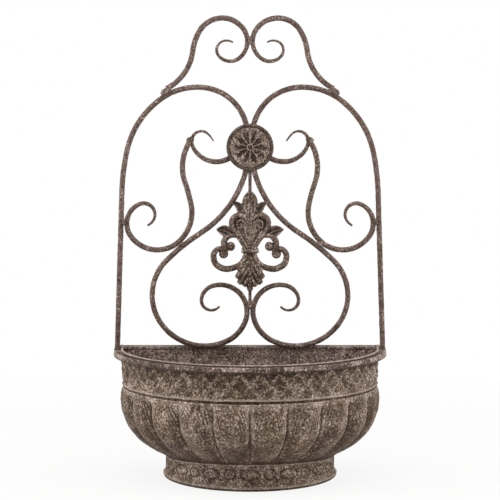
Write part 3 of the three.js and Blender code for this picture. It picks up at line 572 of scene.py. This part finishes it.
def footSection(angle):
    rise = b["footRise"] * math.sin(angle)
    top = b["footHeight"] + rise
    base = b["footRadius"]
    toe = base + b["toeProud"]
    x, y = base * math.cos(angle), base * math.sin(angle)
    outside = smoothLine([
        (base - sheet * 0.5, top, 0.6), (base - 0.1, top - 0.5, 1.3), (base, top - 1.8, 1.1),
        (base - 0.9, top - 3.0, 0.2)], 3)
    levels = 34
    low = 10.5
    for i in range(1, levels + 1):
        z = top - 3.0 - (top - 3.0 - low) * i / levels
        away = medallionAt(angle, z, top)
        dome = math.sqrt(max(0, 1 - away ** 2))
        rimless = math.exp(-((away - 1.14) / 0.15) ** 2)
        r = base - 1.5 + 0.6 * ease(z, 16, low) + medallions["proud"] * dome - 0.9 * rimless
        r -= 0.5 * lumps(x, y, z, 4.5, 2.2)
        drift = lumps(x, y, z, 14, 4.9)
        wornAndLit = 0.7 + 0.1 * dome - 0.75 * rimless + 0.5 * (drift - 0.5)
        outside.append((r, z, wornAndLit))
    dent = 0.6 * lumps(x, y, 0, 5, 7.2)
    outside += smoothLine([
        (base - 0.7, low - 0.6, 0.65), (base + 0.4 - dent * 0.5, 8.9, 0.75),
        (toe - 1.6 - dent * 0.5, 7.2, 1.0), (toe - 0.2 - dent * 0.3, 5.4, 1.35),
        (toe - 0.1, 4.2, 1.7), (toe - 0.9, 3.3, -0.3), (toe - 0.5, 2.2, 0.1),
        (toe - 1.3, 0.6, -0.2), (toe - 2.4, 0, -0.2)], 3)
    inner = [(base - 1.2, 0, 0), (base - sheet - 2.6, sheet, 0), (base - sheet - 2.6, top - 3, 0),
             (base - sheet, top, 0)]
    return outside + inner


foot = ring(footSection, 420, "footBand", sheetMaterial)
seat(foot, "basin_sheet", "foot_band")
print("basin is made")

# ---- bars, swept along their paths by Geometry Nodes

frameY = -(2 * sheet + gap + 4.75)
barRadius = 4.73


def sweepTree():
    # Sweeps a round section along the curves it is given, each point at its own radius, and
    # dents the skin.
    tree = bpy.data.node_groups.new("sweptBar", "GeometryNodeTree")
    face = tree.interface
    face.new_socket("Geometry", in_out="INPUT", socket_type="NodeSocketGeometry")
    for label, kind in (("Sides", "NodeSocketInt"), ("Dent Size", "NodeSocketFloat"),
                        ("Dent Depth", "NodeSocketFloat"), ("Wear", "NodeSocketFloat"),
                        ("Material", "NodeSocketMaterial")):
        face.new_socket(label, in_out="INPUT", socket_type=kind)
    face.new_socket("Geometry", in_out="OUTPUT", socket_type="NodeSocketGeometry")
    t = Nodes(tree)
    given = t.add("NodeGroupInput").outputs
    circle = t.add("GeometryNodeCurvePrimitiveCircle", {"Resolution": given["Sides"], "Radius": 1.0})
    radius = t.add("GeometryNodeInputRadius").outputs[0]
    swept = t.add("GeometryNodeCurveToMesh", {
        "Curve": given["Geometry"], "Profile Curve": circle.outputs[0], "Scale": radius,
        "Fill Caps": True}).outputs[0]
    dents = t.add("ShaderNodeTexNoise", {
        "Vector": t.add("GeometryNodeInputPosition").outputs[0],
        "Scale": t.maths("DIVIDE", 1.0, given["Dent Size"]), "Detail": 2.0}).outputs["Fac"]
    depth = t.maths("MULTIPLY", t.stretch(dents, 0.3, 0.7, -1.0, 0.0), given["Dent Depth"])
    push = t.add("ShaderNodeVectorMath", {0: t.add("GeometryNodeInputNormal").outputs[0], 3: depth},
                 operation="SCALE").outputs[0]
    moved = t.add("GeometryNodeSetPosition", {"Geometry": swept, "Offset": push}).outputs[0]
    smooth = t.add("GeometryNodeSetShadeSmooth", {"Geometry": moved}).outputs[0]
    wornAndLit = t.add("GeometryNodeStoreNamedAttribute", {
        "Geometry": smooth, "Name": "wear", "Value": given["Wear"]}, data_type="FLOAT", domain="POINT")
    real = t.add("GeometryNodeRealizeInstances", {"Geometry": wornAndLit.outputs[0]}).outputs[0]
    done = t.add("GeometryNodeSetMaterial", {"Geometry": real, "Material": given["Material"]}).outputs[0]
    t.join(done, t.add("NodeGroupOutput").inputs[0])
    return tree


barTree = sweepTree()


def bakedPiece(name, source, tree, values):
    # Runs a Geometry Nodes tree on an object and keeps its result as a plain mesh.
    modifier = source.modifiers.new("nodes", "NODES")
    modifier.node_group = tree
    sockets = {item.name: item.identifier for item in tree.interface.items_tree
               if item.item_type == "SOCKET" and item.in_out == "INPUT"}
    for label, value in values.items():
        modifier[sockets[label]] = value
    bpy.context.view_layer.update()
    graph = bpy.context.evaluated_depsgraph_get()
    mesh = bpy.data.meshes.new_from_object(source.evaluated_get(graph))
    mesh.name = name
    bpy.data.objects.remove(source)
    piece = bpy.data.objects.new(name, mesh)
    bpy.context.scene.collection.objects.link(piece)
    return piece


def curveObject(runs):
    # Open curves through (x, depth, z, radius) points, in mm.
    curve = bpy.data.curves.new("path", "CURVE")
    curve.dimensions = "3D"
    for run in runs:
        spline = curve.splines.new("POLY")
        spline.points.add(len(run) - 1)
        for point, (x, y, z, radius) in zip(spline.points, run):
            point.co = (x * mm, wallY + y * mm, z * mm, 1)
            point.radius = radius * mm
    path = bpy.data.objects.new("path", curve)
    bpy.context.scene.collection.objects.link(path)
    return path


def bendBar(bar):
    # Stations (x, z, heading, length along) of a bar: a straight run, then its arcs.
    x, z = bar["start"]
    heading = math.radians(bar["heading"])
    stations = [(x, z, heading, 0.0)]
    step = 2.0
    along = 0.0
    for i in range(int(bar.get("run", 0) / step)):
        along = bar["run"] * (i + 1) / int(bar["run"] / step)
        stations.append((x + along * math.cos(heading), z + along * math.sin(heading), heading, along))
    for radius, degrees in bar["bends"]:
        radius *= bar.get("size", 1)
        turn = math.radians(degrees)
        side = math.copysign(1, turn)
        x, z, heading, along = stations[-1]
        count = max(3, round(radius * abs(turn) / step))
        for i in range(1, count + 1):
            now = heading + turn * i / count
            stations.append((x + side * radius * (math.sin(now) - math.sin(heading)),
                             z - side * radius * (math.cos(now) - math.cos(heading)),
                             now, along + radius * abs(turn) * i / count))
    return stations


def barRun(bar, side):
    stations = bendBar(bar)
    length = stations[-1][3]
    run = []
    for x, z, heading, along in stations:
        share = clamp((along - (length - bar["taper"])) / bar["taper"]) if bar["taper"] else 0
        radius = barRadius - (barRadius - bar["tip"]) * share ** 1.5
        run.append((side * x, frameY, z, radius))
    if bar["taper"]:
        x, z, heading, along = stations[-1]
        for turn in (20, 40, 58, 74, 86):
            ahead = bar["tip"] * math.sin(math.radians(turn))
            run.append((side * (x + ahead * math.cos(heading)), frameY, z + ahead * math.sin(heading),
                        bar["tip"] * math.cos(math.radians(turn))))
    return run


frameBars = {
    "archBar": ({"start": (-222, 212.4), "heading": 88.05, "run": 260.4, "size": 0.99535, "tip": 4.75,
                 "taper": 0, "bends": [(395, -10), (147, -41), (104, -44.5), (81, -73.5)]}, "arch_bar"),
    "crestScroll": ({"start": (-138.51, 645.56), "heading": 26.8, "size": 0.98353, "tip": 1.7,
                     "taper": 170, "bends": [(82.6, 56), (85.5, -23.7), (44.2, -110.8), (35.5, -90),
                                             (25.1, -85.3), (15.7, -113.2), (19, -50.3)]},
                    "crest_scroll"),
    "hookScroll": ({"start": (-27.8, 534.56), "heading": -148.3, "run": 6.3, "tip": 1.6, "taper": 134,
                    "bends": [(43.2, -91.7), (23.9, -40.6), (15.6, -124.3), (60.6, -13.2)]},
                   "hook_scroll"),
    "sScroll": ({"start": (-95.44, 564.23), "heading": -127.977, "size": 0.98121, "tip": 2.1,
                 "taper": 110, "bends": [(80.5, 57.1), (284, -7.6), (67.4, -59.5), (54.8, -97.6),
                                         (36.6, -98.4), (19, -136.2), (21.2, -42.6)]}, "s_scroll"),
    "lowerScroll": ({"start": (-5.2, 517.52), "heading": -101.783, "size": 0.99681, "tip": 2.2,
                     "taper": 130, "bends": [(174.3, -45.3), (369.8, 11.5), (83.2, 89.5), (89.7, 70),
                                             (59.6, 48.9), (45.1, 122), (27.1, 64.7),
                                             (16.9, 147.2)]}, "lower_scroll"),
}
barSkin = {"Sides": 20, "Dent Size": 0.011, "Dent Depth": 0.00045, "Wear": 0.5, "Material": barMaterial}
for barName, (bar, node) in frameBars.items():
    for side, sideName in ((1, "Left"), (-1, "Right")):
        piece = bakedPiece(barName + sideName, curveObject([barRun(bar, side)]), barTree, barSkin)
        seat(piece, "bar_iron", node + "_" + sideName.lower())

rod = {"radius": 2.85, "bottom": 290.34, "top": 509.04, "tongue": 5, "tip": 1.0}
rodRun = [(0, frameY, rod["bottom"] + (rod["top"] - rod["bottom"]) * i / 60, rod["radius"])
          for i in range(61)]
rodRun.append((0, frameY, rod["top"] + rod["tongue"], rod["tip"]))
rodSkin = dict(barSkin, Sides=14)
rodSkin.update({"Dent Depth": 0.0002, "Wear": 0.7})
rodPiece = bakedPiece("centreRod", curveObject([rodRun]), barTree, rodSkin)
seat(rodPiece, "bar_iron", "centre_rod")
print("bars are swept")

# ---- lattice wires on the band, and ovals on the foot


def onBand(angle, z, proud):
    r = bandProfile(z) + proud
    return -r * math.cos(angle), ringBackY - r * math.sin(angle), z


def latticeRuns():
    runs = []
    steps = 16
    pitch = math.pi / lattice["crossings"]
    low, high = b["bandZ"] + lattice["low"], b["bandZ"] + lattice["high"]
    for k in range(-1, lattice["crossings"] + 1):
        for way in (1, -1):
            run = []
            for i in range(steps + 1):
                t = i / steps
                angle = pitch * (k + 0.5 + way * t)
                if 0.004 < angle < math.pi - 0.004:
                    stout = lattice["wire"] * (0.34 + 1.05 * lumps(k * 9, way * 7, i * 1.0, 2.2, 3.3))
                    x, y, z = onBand(angle, low + (high - low) * t, lattice["proud"] - lattice["wire"])
                    run.append((x, y, z, stout))
            if len(run) > 2:
                runs.append(run)
    return runs


wireSkin = {"Sides": 10, "Dent Size": 0.006, "Dent Depth": 0.0016, "Wear": 0.85,
            "Material": sheetMaterial}
wires = bakedPiece("latticeWires", curveObject(latticeRuns()), barTree, wireSkin)
seat(wires, "basin_sheet")
print("lattice is laid")

# ---- floor and back plates

nodes = frame["nodes"]
for plateName in ("back_plate", "floor_plate"):
    plateMesh = nodes[plateName].data
    plateMesh.materials.clear()
    plateMesh.materials.append(insideMaterial)

# ---- rosette, a polar relief on a flat back


def rubbed(piece, amount, reach):
    # Raises the attribute of wear and painted light where the shape stands out and lowers it in hollows.
    mesh = piece.data
    count = len(mesh.vertices)
    place = np.empty(count * 3, np.float32)
    normal = np.empty(count * 3, np.float32)
    mesh.vertices.foreach_get("co", place)
    mesh.vertex_normals.foreach_get("vector", normal)
    place, normal = place.reshape(-1, 3).astype(float), normal.reshape(-1, 3)
    edges = np.empty(len(mesh.edges) * 2, np.int32)
    mesh.edges.foreach_get("vertices", edges)
    edges = edges.reshape(-1, 2)
    near, far = np.concatenate((edges[:, 0], edges[:, 1])), np.concatenate((edges[:, 1], edges[:, 0]))
    share = np.maximum(np.bincount(near, minlength=count), 1)
    even = place.copy()
    for _ in range(reach):
        even = np.stack([np.bincount(near, even[far, k], count) / share for k in range(3)], 1)
    proud = ((place - even) * normal).sum(1) / mm
    layer = mesh.attributes.get("wear") or mesh.attributes.new("wear", "FLOAT", "POINT")
    wornAndLit = np.empty(count, np.float32)
    layer.data.foreach_get("value", wornAndLit)
    wornAndLit += np.clip(amount * proud, -0.9, 0.9).astype(np.float32)
    layer.data.foreach_set("value", wornAndLit)
    mesh.update()


rosetteShape = {"radius": 39.2, "ring": 5.6, "petals": 10, "petalAt": 15.2, "petalLong": 11.6,
                "petalWide": 4.5, "boss": 3.2}


def rosetteRelief(r, turn):
    # Height over the disc's base, and wear with painted shadow, at a point of the rosette.
    q = rosetteShape
    ringMiddle = q["radius"] - q["ring"] / 2
    fromRing = abs(r - ringMiddle) / (q["ring"] / 2)
    if fromRing < 1:
        return 1.2 + 3.2 * math.sqrt(1 - fromRing ** 2), 0.1
    if r < q["boss"]:
        return 1.4 + 1.8 * math.sqrt(1 - (r / q["boss"]) ** 2), 0.1
    step = 2 * math.pi / q["petals"]
    x, y = r * math.cos(turn), r * math.sin(turn)
    aside = (turn - math.pi / 2) % step - step / 2
    grainy = lumps(x, y, 0, 2.4, 4.1)
    long = (r * math.cos(aside) - q["petalAt"]) / q["petalLong"]
    wide = r * math.sin(aside) / (q["petalWide"] * (1 + 0.28 * long))
    fromPetal = math.hypot(long, wide) + 1.1 * (lumps(x, y, 3, 4.2, 2.2) - 0.5)
    sunk = (1 - ease(fromPetal, 0.6, 1.2)) * (0.7 + 0.6 * lumps(x, y, 5, 3.4, 6.2))
    rib = math.exp(-(r * math.cos(aside - math.copysign(step / 2, aside) + math.pi / 2) / 0.9) ** 2)
    rib *= (1 - ease(r, 23, 30)) * (0.75 + 0.25 * math.cos(r * 2.6))
    bossRing = math.exp(-((r - q["boss"] - 1.3) / 0.9) ** 2)
    sunk *= 1 - bossRing
    # Painted shadow: a dark line sunk along the inner edge of the ring.
    hem = ease(r, ringMiddle - 3.9, ringMiddle - 2.8)
    coarse = lumps(x, y, 7, 5, 1.4)
    height = 2.4 + grainy * 1.3 - sunk * 1.6 * (1 - rib) + 0.8 * bossRing + 0.7 * rib - 0.9 * hem
    wornAndLit = 0.78 + 0.5 * rib - 0.9 * sunk * (1 - rib) + 0.3 * bossRing + 0.9 * (grainy - 0.5)
    return height, wornAndLit + 0.7 * (coarse - 0.5) - 0.9 * hem


def makeRosette():
    low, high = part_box("rosette")
    middleZ = (low.z + high.z) / 2 / mm
    backY, frontY = (high.y - wallY) / mm, (low.y - wallY) / mm
    deep = backY - frontY
    rings, spokes = 76, 240
    points, wear, faces = [(0, frontY + 0.6, middleZ)], [0.3], []
    for i in range(1, rings + 1):
        r = rosetteShape["radius"] * min(1, i / (rings - 2))
        for k in range(spokes):
            turn = 2 * math.pi * k / spokes
            if i > rings - 2:
                y, wornAndLit = backY - (0.9 if i == rings - 1 else 0), 0.2
                wide = r - (0.0 if i == rings - 1 else 0.7)
            else:
                height, wornAndLit = rosetteRelief(min(r, rosetteShape["radius"] - 0.001), turn)
                y, wide = backY - (deep - 4.4) - height, r
            points.append((wide * math.cos(turn), y, middleZ + wide * math.sin(turn)))
            wear.append(wornAndLit)
    for k in range(spokes):
        faces.append((0, 1 + k, 1 + (k + 1) % spokes))
    for i in range(rings - 1):
        for k in range(spokes):
            a, c = 1 + i * spokes + k, 1 + i * spokes + (k + 1) % spokes
            faces.append((a, a + spokes, c + spokes, c))
    faces.append(tuple(1 + (rings - 1) * spokes + k for k in range(spokes)))
    piece = meshPiece("rosetteDisc", points, faces, castMaterial, wear)
    rubbed(piece, 0.5, 3)
    return piece


seat(makeRosette(), "cast_pieces", "rosette")
print("rosette is made")

# ---- fleur-de-lis, leaves and scrolls melted into one casting

collarZ = 377.04
fleurBack = -10.15


def relief(path, face, side=1, base=2.6, sections=11, steps=8):
    # A closed strip along a path of (x, z, half width, height); face(u, t) shapes its front.
    line = smoothLine(path, steps)
    points, faces = [], []
    for i, (x, z, wide, tall) in enumerate(line):
        ahead, behind = line[min(i + 1, len(line) - 1)], line[max(i - 1, 0)]
        heading = math.atan2(ahead[1] - behind[1], ahead[0] - behind[0])
        t = i / (len(line) - 1)
        for k in range(sections):
            u = 2 * k / (sections - 1) - 1
            px, pz = x - u * wide * math.sin(heading), z + u * wide * math.cos(heading)
            points.append((side * px, fleurBack - base - tall * face(u, t), collarZ + pz))
        for u in (1, -1):
            px, pz = x - u * wide * math.sin(heading), z + u * wide * math.cos(heading)
            points.append((side * px, fleurBack, collarZ + pz))
    ringSize = sections + 2
    for i in range(len(line) - 1):
        for k in range(ringSize):
            a, c = i * ringSize + k, i * ringSize + (k + 1) % ringSize
            faces.append((a, c, c + ringSize, a + ringSize))
    faces.append(tuple(range(ringSize)))
    faces.append(tuple(reversed(range((len(line) - 1) * ringSize, len(line) * ringSize))))
    return points, faces


def roundFace(u, t):
    return math.sqrt(max(0, 1 - u * u))


def leafFace(u, t):
    vein = math.exp(-(u / 0.13) ** 2)
    return (1 - abs(u) ** 3) ** 0.7 * (1 - 0.5 * vein)


def hollowFace(u, t):
    # A leaf curled up at its edges.
    return 0.45 + 0.55 * math.exp(-((abs(u) - 0.8) / 0.22) ** 2) - 0.15 * math.exp(-(u / 0.2) ** 2)


def beadedFace(u, t):
    return math.sqrt(max(0, 1 - u * u)) * (0.82 + 0.18 * math.cos(t * 50))


def topFace(u, t):
    vein = math.exp(-(u / 0.1) ** 2)
    edge = math.exp(-((abs(u) - 0.74) / 0.15) ** 2) * (1 - 0.8 * t) * (0.7 + 0.3 * math.cos(t * 60))
    side = 0.1 * math.cos(9 * abs(u) + 14 * t)
    return (1 - abs(u) ** 4) ** 0.6 * (0.78 - 0.2 * vein + 0.5 * edge + side)


def spiralKnob(x, z, radius, side, way):
    # A rounded knob with a groove wound into it.
    points, faces = [(side * x, fleurBack - 9.0, collarZ + z)], []
    rings, spokes = 16, 36
    for i in range(1, rings + 1):
        share = i / rings
        for k in range(spokes):
            turn = 2 * math.pi * k / spokes
            wound = (way * turn / (2 * math.pi) + share * 1.35) % 1
            groove = math.exp(-((wound - 0.5) / 0.13) ** 2) * ease(share, 0.1, 0.3)
            tall = 2.6 + 6.0 * math.sqrt(max(0, 1 - share ** 2.4)) - 2.2 * groove * (1 - share ** 6)
            points.append((side * (x + radius * share * math.cos(turn)), fleurBack - tall,
                           collarZ + z + radius * share * math.sin(turn)))
    for k in range(spokes):
        turn = 2 * math.pi * k / spokes
        points.append((side * (x + radius * math.cos(turn)), fleurBack,
                       collarZ + z + radius * math.sin(turn)))
    for k in range(spokes):
        faces.append((0, 1 + k, 1 + (k + 1) % spokes))
    for i in range(rings):
        for k in range(spokes):
            a, c = 1 + i * spokes + k, 1 + i * spokes + (k + 1) % spokes
            faces.append((a, a + spokes, c + spokes, c))
    faces.append(tuple(reversed([1 + rings * spokes + k for k in range(spokes)])))
    return points, faces


def fleurParts():
    parts = []
    for side in (-1, 1):
        parts.append(relief([(-3, 42, 3, 3), (-7.5, 53, 5.4, 4.4), (-12.2, 64, 7.2, 4.8),
                             (-17.2, 72.6, 6.6, 4.6), (-23.2, 77.8, 4.4, 3.4), (-29.6, 78.8, 0.9, 1.4)],
                            hollowFace, side))
        parts.append(relief([(-5, 52, 2.6, 4.5), (-11, 58.5, 3.8, 5.5), (-20, 59.5, 4.4, 5.9),
                             (-28.5, 53, 4.8, 5.9), (-30, 42, 4.8, 5.9), (-24, 30, 4.2, 5.6),
                             (-14, 14, 3.2, 5), (-8.5, 4, 3.2, 5)], roundFace, side))
        parts.append(relief([(-27, 26, 5, 2.8), (-35, 30.5, 8.4, 3.8), (-42.5, 33.2, 9.2, 3.8),
                             (-49, 34.6, 6.6, 3), (-53.4, 35.1, 3.2, 2), (-56, 35.3, 0.7, 1)],
                            hollowFace, side))
        parts.append(relief([(-27, 26, 1.4, 5), (-38, 31.4, 1.3, 4.4), (-52, 35, 0.8, 2.2)], roundFace, side))
        parts.append(relief([(-6.5, 1, 3, 4.5), (-12.5, 17, 3.7, 5), (-23, 25, 4.0, 5.2),
                             (-36, 24.3, 4.8, 5.6), (-43.2, 14.5, 5.2, 5.6), (-41.6, 3.6, 4.8, 5.4),
                             (-36.6, -1.2, 3.4, 4)], roundFace, side))
        parts.append(relief([(-6, -3, 3.6, 4.5), (-14, -20, 4.2, 5), (-28, -28.8, 5, 5.4),
                             (-44, -30, 5.2, 5.6), (-57.5, -21.5, 5.2, 5.6), (-60.5, -6.5, 4.9, 5.4),
                             (-53, 2.8, 4.4, 5), (-44, 1.8, 3.8, 4.4), (-38.5, -2, 3, 3.8)],
                            roundFace, side))
        parts.append(spiralKnob(-32.3, 7.1, 7.6, side, 1))
        parts.append(spiralKnob(-43.9, -5.4, 7.8, side, -1))
        parts.append(relief([(-8.5, 47.5, 1.5, 5), (-15, 51, 1.9, 5.6), (-21, 47, 1.9, 5.6),
                             (-20.4, 39.5, 1.7, 5.4), (-14.6, 39, 1.5, 5.2), (-14.4, 44, 1.3, 5)],
                            beadedFace, side, base=3.2, steps=12))
        parts.append(relief([(-21, 34, 1.8, 4.6), (-14.6, 23, 2.2, 6.2), (-8.2, 12, 2.1, 6.4),
                             (-3.5, 4, 1.6, 5)], beadedFace, side, base=3.2, steps=12))
        parts.append(relief([(-8.5, 40, 1.5, 4.6), (-7.4, 31, 1.9, 6), (-4.4, 20, 1.8, 5.6)],
                            beadedFace, side, base=3.2, steps=12))
        for start, middle, end, wide in (
                ((-5.4, -8), (-12.4, -19), (-18.8, -30.8), 5.6), ((-3.4, -18), (-12, -30.5), (-20, -43), 5.0),
                ((-2.4, -29), (-10, -41.5), (-17, -52.4), 4.6), ((-1.2, -40), (-5.6, -49.5), (-9.4, -57.4), 4.0)):
            tip = (end[0] * 1.14 - start[0] * 0.14, end[1] * 1.11 - start[1] * 0.11)
            parts.append(relief([(*start, wide * 0.45, 3.6), (*middle, wide * 0.8, 5.2),
                                 (*end, wide, 6), (*tip, wide * 0.78, 4)], roundFace, side))
    parts.append(relief([(0, 46, 1.6, 5.4), (0, 55, 5.4, 6.6), (0, 65, 9.2, 7.2), (0, 76, 12.2, 7.2),
                         (0, 84, 12.6, 6.8), (0, 91.5, 9.6, 6), (0, 97, 5, 4.4), (0, 100.6, 0.9, 1.6)],
                        topFace, sections=25, steps=10))
    parts.append(relief([(0, 66, 7, 0.8), (0, 57, 19, 2), (0, 50, 27, 3), (0, 42, 28, 3.2),
                         (0, 32, 24, 3.2), (0, 18, 13, 3), (0, 4, 7, 2.6)],
                        lambda u, t: 1 - 0.5 * u * u, sections=15))
    parts.append(relief([(0, 12, 7.6, 3), (0, 0, 8.2, 3), (0, -14, 8.4, 2.8), (0, -30, 13, 1.6)],
                        roundFace, sections=15))
    parts.append(relief([(0, -26, 16, 1.6), (0, -40, 20, 1.8), (0, -52, 17, 1.8), (0, -60, 9, 1.6)],
                        lambda u, t: 1, sections=9))
    parts.append(relief([(0, -34, 2.2, 4.8), (0, -46, 3.2, 5.6), (0, -57, 4.8, 5.8), (0, -64, 5.2, 5),
                         (0, -67.3, 3, 2.6)], beadedFace, sections=15))
    parts.append(relief([(-14.6, 0, 2.6, 3.4), (-12.8, 0, 4.2, 6.2), (-8, 0, 3.5, 7.6), (0, 0, 3.5, 7.9),
                         (8, 0, 3.5, 7.6), (12.8, 0, 4.2, 6.2), (14.6, 0, 2.6, 3.4)], roundFace))
    return parts


def makeFleur():
    points, faces = [], []
    for partPoints, partFaces in fleurParts():
        start = len(points)
        points += partPoints
        faces += [tuple(start + i for i in face) for face in partFaces]
    # Each part closes on its own, so the normals are set on every shell.
    piece = meshPiece("fleurCasting", points, faces, castMaterial)
    melt = piece.modifiers.new("melt", "REMESH")
    melt.mode = "VOXEL"
    melt.voxel_size = 0.62 * mm
    bpy.context.view_layer.update()
    graph = bpy.context.evaluated_depsgraph_get()
    mesh = bpy.data.meshes.new_from_object(piece.evaluated_get(graph))
    piece.modifiers.clear()
    piece.data = mesh
    if not mesh.materials:
        mesh.materials.append(castMaterial)
    mesh.polygons.foreach_set("use_smooth", [True] * len(mesh.polygons))
    count = len(mesh.vertices)
    place = np.empty(count * 3, np.float32)
    normal = np.empty(count * 3, np.float32)
    mesh.vertices.foreach_get("co", place)
    mesh.vertex_normals.foreach_get("vector", normal)
    place, normal = place.reshape(-1, 3), normal.reshape(-1, 3)
    out, wear = np.zeros(count, np.float32), np.zeros(count, np.float32)
    for i, (x, y, z) in enumerate((place / mm).tolist()):
        out[i] = 0.5 * (lumps(x, y, z, 2.4, 1.1) - 0.5) + 0.6 * (lumps(x, y, z, 7, 5.5) - 0.5)
        middle = ease(math.hypot(x / 26, (z - collarZ - 15) / 78), 1.15, 0.5)
        heart = ease(math.hypot(x / 24, (z - collarZ - 34) / 26), 1.1, 0.6)
        wear[i] = 0.2 + 0.36 * middle + 0.3 * heart + 0.4 * (lumps(x, y, z, 9, 2.8) - 0.5)
        wear[i] += middle * 0.9 * (lumps(x, y, z, 3, 6.8) - 0.5)
    out *= (place[:, 1] / mm - 115 < fleurBack - 0.5) * mm
    mesh.vertices.foreach_set("co", (place + normal * out[:, None]).astype(np.float32).ravel())
    mesh.update()
    layer = mesh.attributes.new("wear", "FLOAT", "POINT")
    layer.data.foreach_set("value", wear)
    rubbed(piece, 0.9, 4)
    rubbed(piece, 0.36, 40)
    return piece


fleur = makeFleur()
seat(fleur, "cast_pieces", "fleur_casting")
print("casting is made:", len(fleur.data.polygons), "faces")

# ---- weld beads, rounded and roughened copies of the solids


def lumpTree():
    tree = bpy.data.node_groups.new("weldLump", "GeometryNodeTree")
    tree.interface.new_socket("Geometry", in_out="INPUT", socket_type="NodeSocketGeometry")
    for label, kind in (("Swell", "NodeSocketFloat"), ("Lump Size", "NodeSocketFloat"),
                        ("Lump Height", "NodeSocketFloat"), ("Material", "NodeSocketMaterial")):
        tree.interface.new_socket(label, in_out="INPUT", socket_type=kind)
    tree.interface.new_socket("Geometry", in_out="OUTPUT", socket_type="NodeSocketGeometry")
    t = Nodes(tree)
    given = t.add("NodeGroupInput").outputs
    soft = t.add("GeometryNodeSubdivisionSurface", {"Mesh": given["Geometry"], "Level": 3}).outputs[0]
    noiseAt = t.add("ShaderNodeTexNoise", {
        "Vector": t.add("GeometryNodeInputPosition").outputs[0],
        "Scale": t.maths("DIVIDE", 1.0, given["Lump Size"]), "Detail": 3.0}).outputs["Fac"]
    lumpy = t.maths("MULTIPLY", t.stretch(noiseAt, 0.3, 0.7, -0.5, 0.5), given["Lump Height"])
    push = t.add("ShaderNodeVectorMath", {0: t.add("GeometryNodeInputNormal").outputs[0],
                                          3: t.maths("ADD", lumpy, given["Swell"])},
                 operation="SCALE").outputs[0]
    moved = t.add("GeometryNodeSetPosition", {"Geometry": soft, "Offset": push}).outputs[0]
    smooth = t.add("GeometryNodeSetShadeSmooth", {"Geometry": moved}).outputs[0]
    real = t.add("GeometryNodeRealizeInstances", {"Geometry": smooth}).outputs[0]
    done = t.add("GeometryNodeSetMaterial", {"Geometry": real, "Material": given["Material"]}).outputs[0]
    t.join(done, t.add("NodeGroupOutput").inputs[0])
    return tree


weldTree = lumpTree()
weldSkin = {"Swell": 0.0003, "Lump Size": 0.004, "Lump Height": 0.0014, "Material": weldMaterial}
footSwell = 0.0016  # the crest's feet are cut square, and the bead fills the corner
for nodeName in sorted(nodes):
    if nodeName.startswith("weld_"):
        copied = nodes[nodeName].data.copy()
        shell = bmesh.new()
        shell.from_mesh(copied)
        bmesh.ops.remove_doubles(shell, verts=shell.verts, dist=1e-6)
        shell.to_mesh(copied)
        shell.free()
        source = bpy.data.objects.new("weldSource", copied)
        bpy.context.scene.collection.objects.link(source)
        words = nodeName.split("_")
        skin = dict(weldSkin, Swell=footSwell) if "foot" in words and "crest" in words else weldSkin
        piece = bakedPiece("weld" + "".join(word.title() for word in words[1:]), source, weldTree, skin)
        seat(piece, "weld_metal", nodeName)
print("welds are laid")
